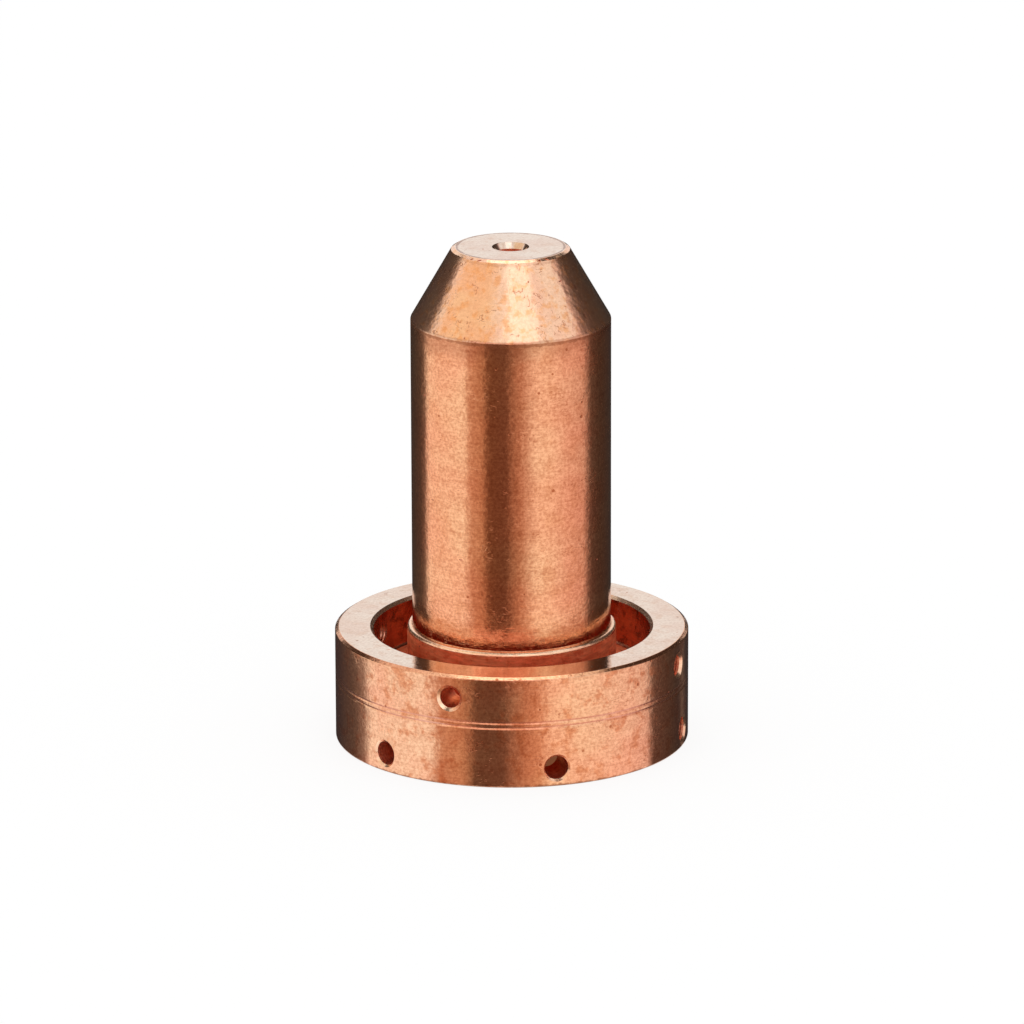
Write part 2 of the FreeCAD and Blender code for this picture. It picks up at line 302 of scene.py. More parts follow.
@dataclass(frozen=True)
class NozzleSizes:
    """Sizes of the nozzle. The frame gives the first six.

    The flats stand for worn edges, the rounds and corners for what the cutting tool leaves.
    """

    height: float
    barrel_radius: float
    flange_radius: float
    seat_radius: float
    chamber_radius: float
    orifice_radius: float
    tip_radius: float = 2.9 * MM
    nose_half_angle: float = math.radians(30)
    mouth_radius: float = 0.925 * MM
    mouth_half_angle: float = math.radians(30)
    mouth_round: float = 0.04 * MM
    ledge_width: float = 0.26 * MM
    ledge_rise: float = 0.13 * MM
    groove_width: float = 1.71 * MM
    groove_depth: float = 2.4 * MM
    web: float = 1.4 * MM
    seat_depth: float = 1.9 * MM
    nose_thickness: float = 2.65 * MM
    funnel_half_angle: float = math.radians(45)
    tip_flat_run: float = 0.13 * MM
    tip_flat_drop: float = 0.11 * MM
    shoulder_round: float = 0.2 * MM
    root_round: float = 0.03 * MM
    ledge_round: float = 0.19 * MM
    groove_corner: float = 0.15 * MM
    rim_flat_run: float = 0.19 * MM
    rim_flat_drop: float = 0.125 * MM
    flat_round: float = 0.05 * MM
    groove_rim: float = 0.16 * MM
    rear_round: float = 0.1 * MM
    seat_corner: float = 0.1 * MM
    chamber_corner: float = 0.3 * MM
    throat_round: float = 0.1 * MM
    seat_chamfer: float = 0.2 * MM
    chamber_chamfer: float = 0.3 * MM
    line_height: float = 3.1 * MM
    line_half_width: float = 0.085 * MM
    line_depth: float = 0.028 * MM
    second_line_rise: float = 0.26 * MM
    second_line_depth: float = 0.018 * MM

    @classmethod
    def from_frame(cls) -> "NozzleSizes":
        """Read the height from the node's box and the radii from the record's mounts.

        Returns:
            The sizes of the nozzle.
        """
        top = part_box(NODE)[1]
        radii = {
            mount["name"]: mount["dims"]["r_mm"] * MM
            for mount in frame["record"]["mounts"]
            if "r_mm" in mount["dims"]
        }
        return cls(
            height=top.z,
            barrel_radius=radii["barrel"],
            flange_radius=radii["flange_rim"],
            seat_radius=radii["cartridge_seat"],
            chamber_radius=radii["electrode_bore"],
            orifice_radius=radii["arc_orifice"],
        )

    @property
    def groove_floor(self) -> float:
        """Height of the front groove's floor."""
        return self.seat_depth + self.web

    @property
    def flange_top(self) -> float:
        """Height of the flange's front face."""
        return self.groove_floor + self.groove_depth

    @property
    def ledge_radius(self) -> float:
        """Radius of the ledge at the barrel's root."""
        return self.barrel_radius + self.ledge_width

    @property
    def ledge_top(self) -> float:
        """Height of the ledge's top."""
        return self.flange_top + self.ledge_rise

    @property
    def groove_radius(self) -> float:
        """Radius of the groove's outer wall."""
        return self.ledge_radius + self.groove_width

    @property
    def shoulder_height(self) -> float:
        """Height where the nose meets the barrel."""
        run = self.barrel_radius - self.tip_radius
        return self.height - run / math.tan(self.nose_half_angle)


@dataclass(frozen=True)
class Corner:
    """A corner of the outline, and the surface that runs from it to the next."""

    radius: float
    height: float
    cut: Cut
    rounding: float = 0.0
    line: TurnedLine = TurnedLine.NONE
    arc: Cut = Cut.BROKEN_EDGE


@dataclass(frozen=True)
class OutlinePoint:
    """A point of the finished outline, and how the strip that starts there is cut."""

    place: Vector
    cut: Cut
    line: TurnedLine = TurnedLine.NONE


@dataclass(frozen=True)
class Outline:
    """An outline of corners, rounded where they say so.

    A run of at least long_run margins is long: it gets a point one margin from each end.
    """

    corners: tuple[Corner, ...]
    closed: bool = True
    arc_step: float = math.radians(13)
    margin: float = 0.012 * MM
    long_run: float = 6.0

    def points(self) -> list[OutlinePoint]:
        """Round the corners and put a point close to each end of a long straight run.

        Returns:
            The outline's points in order.
        """
        places = [Vector((corner.radius, corner.height)) for corner in self.corners]
        count = len(places)
        found = []
        for i, corner in enumerate(self.corners):
            arc = self.round_corner(places[i - 1], places[i], places[(i + 1) % count], corner)
            found.append(arc)
        result = []
        for i, arc in enumerate(found):
            result.extend(arc)
            last_run = not self.closed and i == count - 1
            start = arc[-1].place
            end = found[(i + 1) % count][0].place
            run = end - start
            if last_run or run.length < self.long_run * self.margin:
                continue
            inset = run.normalized() * self.margin
            result.append(OutlinePoint(start + inset, self.corners[i].cut))
            result.append(OutlinePoint(end - inset, self.corners[i].cut))
        return result

    def round_corner(
        self, before: Vector, place: Vector, after: Vector, corner: Corner
    ) -> list[OutlinePoint]:
        """Return the points that stand for one corner.

        Args:
            before: the corner before it.
            place: the corner itself.
            after: the corner after it.
            corner: its rounding and its cut.

        Returns:
            One point, or the points of its arc.
        """
        if corner.rounding <= 0:
            return [OutlinePoint(place, corner.cut, corner.line)]
        back = (before - place).normalized()
        onward = (after - place).normalized()
        opening = back.angle(onward)
        reach = corner.rounding / math.tan(opening / 2)
        middle = place + (back + onward).normalized() * corner.rounding / math.sin(opening / 2)
        first = place + back * reach - middle
        turn = first.angle_signed(place + onward * reach - middle)
        steps = max(2, math.ceil(abs(turn) / self.arc_step))
        arc = []
        for step in range(steps + 1):
            angle = -turn * step / steps
            spoke = Matrix.Rotation(angle, 2) @ first
            cut = corner.arc if step < steps else corner.cut
            arc.append(OutlinePoint(middle + spoke, cut, corner.line))
        return arc

    def mesh(self, name: str) -> bpy.types.Object:
        """Make a mesh object of the outline's points, with what the turning tree reads.

        Args:
            name: the object's name.

        Returns:
            The object, which has points only.
        """
        points = self.points()
        piece = new_object(name, [(p.place.x, 0.0, p.place.y) for p in points])
        cuts = piece.data.attributes.new("cut", "INT", "POINT")
        cuts.data.foreach_set("value", [int(p.cut) for p in points])
        lines = piece.data.attributes.new("line", "FLOAT", "POINT")
        lines.data.foreach_set("value", [float(p.line) for p in points])
        return piece


# Geometry trees


class TurnedForm:
    """Geometry trees that turn an outline, drill rows of holes and nick the surface."""

    wander_waves = 5.0
    merge_distance = 1e-7
    least_outward = 0.2 * MM
    least_upward = 0.9
    smallest_spread: Place = (1.0, 0.7, 0.4)
    largest_spread: Place = (2.4, 1.0, 0.8)

    def __init__(self, finishes: dict[Cut, bpy.types.Material]) -> None:
        """Hold the finishes and build the trees.

        Args:
            finishes: the material of each kind of cut.
        """
        self.finishes = finishes
        self.turn = self.build_turn()
        self.drill = self.build_drill()
        self.nick = self.build_nick()

    def close_tree(self, sheet: NodeSheet, geometry: bpy.types.NodeSocket) -> None:
        """End a tree: make instances real and give each cut its finish.

        Args:
            sheet: the tree's sheet.
            geometry: what the tree made.
        """
        geometry = sheet.add("GeometryNodeRealizeInstances", {"Geometry": geometry}).outputs[0]
        plain = {"Geometry": geometry, "Material": self.finishes[Cut.FACED]}
        geometry = sheet.add("GeometryNodeSetMaterial", plain).outputs[0]
        named = sheet.add("GeometryNodeInputNamedAttribute", {"Name": "cut"}, data_type="INT")
        for cut, material in self.finishes.items():
            same = sheet.add(
                "FunctionNodeCompare",
                {2: named.outputs["Attribute"], 3: int(cut)},
                data_type="INT",
                operation="EQUAL",
            )
            feeds = {"Geometry": geometry, "Selection": same.outputs[0], "Material": material}
            geometry = sheet.add("GeometryNodeSetMaterial", feeds).outputs[0]
        sheet.give(Geometry=geometry)

    def build_turn(self) -> bpy.types.NodeTree:
        """Build the tree that turns an outline once round the Z axis.

        Returns:
            The tree. Closed is 1 where the outline is a ring, and 0 where it ends on the axis.
        """
        sheet = NodeSheet.group("turn_outline", TreeKind.GEOMETRY)
        outline = sheet.take("Geometry", "Geometry")
        segments = sheet.take("Segments", "Int", 96)
        closed = sheet.take("Closed", "Int", 1)
        wander = sheet.take("Wander", "Float", 0.0)
        seed = sheet.take("Seed", "Float", 0.0)

        size = sheet.add("GeometryNodeAttributeDomainSize", {"Geometry": outline})
        points = size.outputs["Point Count"]
        columns = sheet.whole("ADD", segments, 1)
        rows = sheet.whole("ADD", points, closed)
        grid = sheet.add("GeometryNodeMeshGrid", {"Vertices X": rows, "Vertices Y": columns})
        index = sheet.add("GeometryNodeInputIndex").outputs[0]

        row = sheet.whole("MODULO", sheet.whole("DIVIDE_FLOOR", index, columns), points)
        column = sheet.whole("MODULO", index, columns)
        turn = sheet.math("DIVIDE", sheet.math("MULTIPLY", column, math.tau), segments)
        place = sheet.add("GeometryNodeInputPosition").outputs[0]
        sampled = self.sample(sheet, outline, place, row, "FLOAT_VECTOR")
        radius, _, height = sheet.split(sampled)
        sine = sheet.math("SINE", turn)
        cosine = sheet.math("COSINE", turn)
        named = sheet.add("GeometryNodeInputNamedAttribute", {"Name": "line"}, data_type="FLOAT")
        line = self.sample(sheet, outline, named.outputs["Attribute"], row, "FLOAT")
        ring = sheet.vector(sine, cosine, sheet.math("ADD", seed, line))
        noise = sheet.noise(ring, self.wander_waves, detail=4.0, roughness=0.6)
        swing = sheet.math("MULTIPLY", sheet.math("SUBTRACT", noise, 0.5), wander)
        shift = sheet.math("MULTIPLY", swing, sheet.math("SIGN", line))
        across = sheet.math("MULTIPLY", radius, sine)
        deep = sheet.math("MULTIPLY", sheet.math("MULTIPLY", radius, cosine), -1.0)
        turned = sheet.vector(across, deep, sheet.math("ADD", height, shift))
        feeds = {"Geometry": grid.outputs[0], "Position": turned}
        moved = sheet.add("GeometryNodeSetPosition", feeds)

        strip = sheet.whole("MODULO", sheet.whole("DIVIDE_FLOOR", index, segments), points)
        cut = sheet.add("GeometryNodeInputNamedAttribute", {"Name": "cut"}, data_type="INT")
        strip_cut = self.sample(sheet, outline, cut.outputs["Attribute"], strip, "INT")
        feeds = {"Geometry": moved.outputs[0], "Name": "cut", "Value": strip_cut}
        marked = sheet.add("GeometryNodeStoreNamedAttribute", feeds, data_type="INT", domain="FACE")
        feeds = {"Geometry": marked.outputs[0], "Distance": self.merge_distance}
        merged = sheet.add("GeometryNodeMergeByDistance", feeds)
        smooth = sheet.add("GeometryNodeSetShadeSmooth", {"Geometry": merged.outputs[0]})
        self.close_tree(sheet, smooth.outputs[0])
        return sheet.tree

    def sample(
        self,
        sheet: NodeSheet,
        geometry: bpy.types.NodeSocket,
        value: bpy.types.NodeSocket,
        index: bpy.types.NodeSocket,
        kind: str,
    ) -> bpy.types.NodeSocket:
        """Read a value at one of the outline's points.

        Args:
            sheet: the tree's sheet.
            geometry: the outline.
            value: what is read at the point.
            index: the point's number.
            kind: the value's type.

        Returns:
            The value.
        """
        feeds = {"Geometry": geometry, "Value": value, "Index": index}
        node = sheet.add("GeometryNodeSampleIndex", feeds, data_type=kind, domain="POINT")
        return node.outputs[0]

    def build_drill(self) -> bpy.types.NodeTree:
        """Build the tree that drills a row of radial holes with one cutter.

        Returns:
            The tree. The cutter lies along Z, with its heights as distances from the axis.
        """
        sheet = NodeSheet.group("drill_row", TreeKind.GEOMETRY)
        solid = sheet.take("Geometry", "Geometry")
        cutter = sheet.take("Cutter", "Object")
        count = sheet.take("Count", "Int", 4)
        azimuth = sheet.take("Azimuth", "Float", 0.0)
        height = sheet.take("Height", "Float", 0.0)

        feeds = {"Count": count, "Position": sheet.vector(0.0, 0.0, height)}
        spots = sheet.add("GeometryNodePoints", feeds)
        index = sheet.add("GeometryNodeInputIndex").outputs[0]
        turn = sheet.math("DIVIDE", sheet.math("MULTIPLY", index, math.tau), count)
        angles = sheet.vector(math.pi / 2, 0.0, sheet.math("ADD", turn, azimuth))
        rotation = sheet.add("FunctionNodeEulerToRotation", {0: angles}).outputs[0]
        tool = sheet.add("GeometryNodeObjectInfo", {"Object": cutter}).outputs["Geometry"]
        feeds = {"Points": spots.outputs[0], "Instance": tool, "Rotation": rotation}
        tools = sheet.add("GeometryNodeInstanceOnPoints", feeds).outputs[0]
        real = sheet.add("GeometryNodeRealizeInstances", {"Geometry": tools}).outputs[0]
        self.close_tree(sheet, self.cut_away(sheet, solid, real))
        return sheet.tree

    def cut_away(
        self, sheet: NodeSheet, solid: bpy.types.NodeSocket, tools: bpy.types.NodeSocket
    ) -> bpy.types.NodeSocket:
        """Cut tools out of a solid.

        Args:
            sheet: the tree's sheet.
            solid: the mesh that is cut.
            tools: the real meshes that are taken away.

        Returns:
            The mesh that is left.
        """
        feeds = {"Mesh 1": solid, "Mesh 2": tools}
        node = sheet.add("GeometryNodeMeshBoolean", feeds, operation="DIFFERENCE", solver="EXACT")
        return node.outputs[0]

    def build_nick(self) -> bpy.types.NodeTree:
        """Build the tree that nicks the outside, at marked points and at random ones.

        Returns:
            The tree. Marks is an object whose points say where, with a size attribute.
        """
        sheet = NodeSheet.group("nick_surface", TreeKind.GEOMETRY)
        solid = sheet.take("Geometry", "Geometry")
        marks = sheet.take("Marks", "Object")
        seed = sheet.take("Seed", "Int", 1)
        density = sheet.take("Density", "Float", 1.0)
        smallest = sheet.take("Smallest", "Float", 0.0)
        largest = sheet.take("Largest", "Float", 0.0)

        place = sheet.add("GeometryNodeInputPosition").outputs[0]
        normal = sheet.add("GeometryNodeInputNormal").outputs[0]
        across, deep, _ = sheet.split(place)
        side = sheet.vector(across, deep, 0.0)
        outward = sheet.add("ShaderNodeVectorMath", {0: side, 1: normal}, operation="DOT_PRODUCT")
        faces_out = sheet.math("GREATER_THAN", outward.outputs["Value"], self.least_outward)
        faces_up = sheet.math("GREATER_THAN", sheet.split(normal)[2], self.least_upward)
        outside = sheet.math("MAXIMUM", faces_out, faces_up)
        feeds = {"Mesh": solid, "Selection": outside, "Density": density, "Seed": seed}
        spots = sheet.add("GeometryNodeDistributePointsOnFaces", feeds)
        feeds = {2: smallest, 3: largest, "Seed": seed}
        size = sheet.add("FunctionNodeRandomValue", feeds, data_type="FLOAT").outputs[1]
        feeds = {0: self.smallest_spread, 1: self.largest_spread, "Seed": seed}
        spread = sheet.add("FunctionNodeRandomValue", feeds, data_type="FLOAT_VECTOR").outputs[0]
        scale = sheet.add("ShaderNodeVectorMath", {0: spread, "Scale": size}, operation="SCALE")
        ball = sheet.add("GeometryNodeMeshIcoSphere", {"Radius": 1.0, "Subdivisions": 2})
        feeds = {
            "Points": spots.outputs["Points"],
            "Instance": ball.outputs[0],
            "Rotation": spots.outputs["Rotation"],
            "Scale": scale.outputs[0],
        }
        scattered = sheet.add("GeometryNodeInstanceOnPoints", feeds).outputs[0]
        placed = sheet.add("GeometryNodeObjectInfo", {"Object": marks}).outputs["Geometry"]
        points = sheet.add("GeometryNodeMeshToPoints", {"Mesh": placed}).outputs[0]
        feeds = {"Name": "size"}
        named = sheet.add("GeometryNodeInputNamedAttribute", feeds, data_type="FLOAT_VECTOR")
        feeds = {"Points": points, "Instance": ball.outputs[0], "Scale": named.outputs["Attribute"]}
        chosen = sheet.add("GeometryNodeInstanceOnPoints", feeds).outputs[0]
        joined = sheet.add("GeometryNodeJoinGeometry", {0: scattered})
        sheet.feed(joined.inputs[0], chosen)
        real = sheet.add("GeometryNodeRealizeInstances", {"Geometry": joined.outputs[0]}).outputs[0]
        smooth = sheet.add("GeometryNodeSetShadeSmooth", {"Geometry": real}).outputs[0]
        # The nicks take the bored finish, whose dark colour partly paints shade in them
        feeds = {"Geometry": smooth, "Name": "cut", "Value": int(Cut.BORED)}
        marked = sheet.add("GeometryNodeStoreNamedAttribute", feeds, data_type="INT", domain="FACE")
        self.close_tree(sheet, self.cut_away(sheet, solid, marked.outputs[0]))
        return sheet.tree


def add_tree(
    piece: bpy.types.Object, tree: bpy.types.NodeTree, **inputs: Feed | bpy.types.Object
) -> None:
    """Add a geometry tree to a piece and set the tree's inputs by their identifiers.

    Args:
        piece: the object that gets the modifier.
        tree: the geometry tree.
        **inputs: the tree's named inputs.
    """
    modifier = piece.modifiers.new(tree.name, "NODES")
    modifier.node_group = tree
    for item in tree.interface.items_tree:
        if item.item_type == "SOCKET" and item.name in inputs:
            modifier[item.identifier] = inputs[item.name]


def settle(piece: bpy.types.Object) -> None:
    """Turn a piece's modifiers into a plain mesh and take them off.

    Args:
        piece: the object, which keeps its name.
    """
    bpy.context.view_layer.update()
    graph = bpy.context.evaluated_depsgraph_get()
    mesh = bpy.data.meshes.new_from_object(piece.evaluated_get(graph), depsgraph=graph)
    if not mesh.polygons:
        raise RuntimeError(f"the trees left nothing of {piece.name}")
    piece.modifiers.clear()
    old = piece.data
    piece.data = mesh
    name = piece.name
    bpy.data.meshes.remove(old)
    mesh.name = name
    drop_empty_slots(mesh)


def drop_empty_slots(mesh: bpy.types.Mesh) -> None:
    """Take off the slots that hold no material, and keep each face's finish.

    Args:
        mesh: the mesh whose slots are cleared.
    """
    held = [i for i, material in enumerate(mesh.materials) if material]
    place = {old: new for new, old in enumerate(held)}
    kept = [mesh.materials[i] for i in held]
    wanted = [place.get(polygon.material_index, 0) for polygon in mesh.polygons]
    mesh.materials.clear()
    for material in kept:
        mesh.materials.append(material)
    mesh.polygons.foreach_set("material_index", wanted)


# Finishes


class FinishGroups:
    """The shader effects that more than one copper finish uses.

    Rings are scales round a ring and along its lay. Waves multiply the group's own scale, so
    more of them make a noise finer. Limits are where a smooth step begins and ends.
    """

    axis_clearance = 0.1 * MM
    fine_rings: tuple[float, float] = (7.0, 1.0)
    coarse_rings: tuple[float, float] = (2.5, 0.22)
    coarse_share = 0.35
    ripple_waves = 0.36
    pit_chance: Limits = (0.72, 1.0)
    pit_edge: Limits = (0.0, 0.05)
    widest_pit = 0.14
    scratch_line: Limits = (0.01, 0.035)
    scratch_edge: Limits = (0.96, 1.04)
    break_waves = 1.1
    cluster_waves = 0.3
    cluster_share = 0.55
    dirt_and_shade_reach = 0.8
    dirt_and_shade_edge: Limits = (0.95, 1.2)
    drift_edge: Limits = (0.38, 0.62)
    patch_waves = 3.7
    patch_edge: Limits = (0.49, 0.65)

    def __init__(self) -> None:
        """Build each group once."""
        self.tool_marks = self.build_tool_marks()
        self.grain = self.build_grain()
        self.scratches = self.build_scratches()
        self.dirt_and_shade = self.build_dirt_and_shade()
        self.tarnish = self.build_tarnish()

    def build_tool_marks(self) -> bpy.types.NodeTree:
        """Build the fine rings that a cutting tool leaves.

        Returns:
            A group that puts out their height.
        """
        sheet = NodeSheet.group("tool_marks", TreeKind.SHADER)
        place = sheet.take("Place", "Vector")
        pitch = sheet.take("Pitch", "Float", 0.1 * MM)
        lay = sheet.take("Lay", "Float", 0.0)
        across, deep, up = sheet.split(place)
        out = sheet.length(across, deep)
        safe = sheet.math("MAXIMUM", out, self.axis_clearance)
        along = sheet.math("DIVIDE", sheet.blend(lay, up, out), pitch)
        side = sheet.math("DIVIDE", across, safe)
        front = sheet.math("DIVIDE", deep, safe)
        ring = self.ring(sheet, side, front, along, *self.fine_rings)
        fine = sheet.noise(ring, 1.0, detail=3.0, roughness=0.6)
        ring = self.ring(sheet, side, front, along, *self.coarse_rings)
        coarse = sheet.noise(ring, 1.0)
        sheet.give(Height=sheet.blend(self.coarse_share, fine, coarse))
        return sheet.tree

    def ring(
        self,
        sheet: NodeSheet,
        side: bpy.types.NodeSocket,
        front: bpy.types.NodeSocket,
        along: bpy.types.NodeSocket,
        round_scale: float,
        along_scale: float,
    ) -> bpy.types.NodeSocket:
        """Return a place on a ring for noise, scaled apart round the ring and along its lay."""
        return sheet.vector(
            sheet.math("MULTIPLY", side, round_scale),
            sheet.math("MULTIPLY", front, round_scale),
            sheet.math("MULTIPLY", along, along_scale),
        )

    def build_grain(self) -> bpy.types.NodeTree:
        """Build the fine speckle of bare metal.

        Returns:
            A group that puts out a speckle, a wider ripple and a mask of small pits.
        """
        sheet = NodeSheet.group("metal_grain", TreeKind.SHADER)
        place = sheet.take("Place", "Vector")
        size = sheet.take("Size", "Float", 0.1 * MM)
        pit_spacing = sheet.take("Pit Spacing", "Float", 0.6 * MM)
        scale = sheet.math("DIVIDE", 1.0, size)
        fine = sheet.noise(place, scale, detail=3.0, roughness=0.65)
        wide = sheet.noise(place, sheet.math("MULTIPLY", scale, self.ripple_waves), detail=1.0)
        feeds = {"Vector": place, "Scale": sheet.math("DIVIDE", 1.0, pit_spacing)}
        cells = sheet.add("ShaderNodeTexVoronoi", feeds)
        chance = sheet.split(cells.outputs["Color"])[0]
        reach = sheet.step(chance, *self.pit_chance, end=self.widest_pit)
        close = sheet.math("SUBTRACT", reach, cells.outputs["Distance"])
        sheet.give(Speckle=fine, Ripple=wide, Pit=sheet.step(close, *self.pit_edge))
        return sheet.tree

    def build_scratches(self) -> bpy.types.NodeTree:
        """Build short curved scratches that come in clusters.

        Returns:
            A group that puts out their mask. Stretch lays them round the axis.
        """
        sheet = NodeSheet.group("short_scratches", TreeKind.SHADER)
        place = sheet.take("Place", "Vector")
        size = sheet.take("Size", "Float", 0.5 * MM)
        stretch = sheet.take("Stretch", "Float", 1.0)
        share = sheet.take("Share", "Float", 0.4)
        across, deep, up = sheet.split(place)
        scale = sheet.math("DIVIDE", 1.0, size)
        laid = sheet.vector(across, deep, sheet.math("MULTIPLY", up, stretch))
        field = sheet.noise(laid, scale, detail=1.5)
        off = sheet.math("ABSOLUTE", sheet.math("SUBTRACT", field, 0.5))
        line = sheet.step(off, *self.scratch_line, start=1.0, end=0.0)
        broken = sheet.noise(place, sheet.math("MULTIPLY", scale, self.break_waves))
        cluster = sheet.noise(place, sheet.math("MULTIPLY", scale, self.cluster_waves))
        kept = sheet.math("ADD", sheet.blend(self.cluster_share, broken, cluster), share)
        sheet.give(Scratch=sheet.math("MULTIPLY", line, sheet.step(kept, *self.scratch_edge)))
        return sheet.tree

    def build_dirt_and_shade(self) -> bpy.types.NodeTree:
        """Build a dark, ragged band along an edge, which stands for dirt in some finishes and is
        painted shade in others.

        Returns:
            A group that puts out its mask, round one height and one radius.
        """
        sheet = NodeSheet.group("edge_soil", TreeKind.SHADER)
        place = sheet.take("Place", "Vector")
        height = sheet.take("Height", "Float", 0.0)
        rise = sheet.take("Rise", "Float", 1.0)
        radius = sheet.take("Radius", "Float", 0.0)
        spread = sheet.take("Spread", "Float", 1.0)
        size = sheet.take("Size", "Float", 0.4 * MM)
        across, deep, up = sheet.split(place)
        out = sheet.length(across, deep)
        near = []
        for value, middle, reach in ((up, height, rise), (out, radius, spread)):
            off = sheet.math("ABSOLUTE", sheet.math("SUBTRACT", value, middle))
            near.append(sheet.math("SUBTRACT", 1.0, sheet.math("DIVIDE", off, reach)))
        closest = sheet.math("MINIMUM", *near)
        ragged = sheet.noise(place, sheet.math("DIVIDE", 1.0, size), detail=4.0, roughness=0.65)
        mask = sheet.math("ADD", sheet.math("MULTIPLY", closest, self.dirt_and_shade_reach), ragged)
        sheet.give(Soil=sheet.step(mask, *self.dirt_and_shade_edge))
        return sheet.tree

    def build_tarnish(self) -> bpy.types.NodeTree:
        """Build the slow drift of colour over bare copper.

        Returns:
            A group that puts out the colour, and a mask of the stained patches.
        """
        sheet = NodeSheet.group("copper_tarnish", TreeKind.SHADER)
        place = sheet.take("Place", "Vector")
        size = sheet.take("Size", "Float", 3.0 * MM)
        bright = sheet.take("Bright", "Color", rgba(WHITE))
        rosy = sheet.take("Rosy", "Color", rgba(WHITE))
        stained = sheet.take("Stained", "Color", rgba(WHITE))
        amount = sheet.take("Amount", "Float", 0.5)
        scale = sheet.math("DIVIDE", 1.0, size)
        slow = sheet.noise(place, scale)
        finer = sheet.math("MULTIPLY", scale, self.patch_waves)
        patchy = sheet.noise(place, finer, detail=5.0, roughness=0.65)
        body = sheet.tint(sheet.step(slow, *self.drift_edge), bright, rosy)
        patch = sheet.math("MULTIPLY", sheet.step(patchy, *self.patch_edge), amount)
        sheet.give(Colour=sheet.tint(patch, body, stained), Patch=patch)
        return sheet.tree


@dataclass(frozen=True)
class Soil:
    """A dark band along an edge, real dirt in some places and painted shade in others: round a
    height and a radius, and how far from them.
    """

    height: float
    rise: float
    radius: float = 0.0
    spread: float = 1.0
    size: float = 0.4 * MM
    amount: float = 0.7


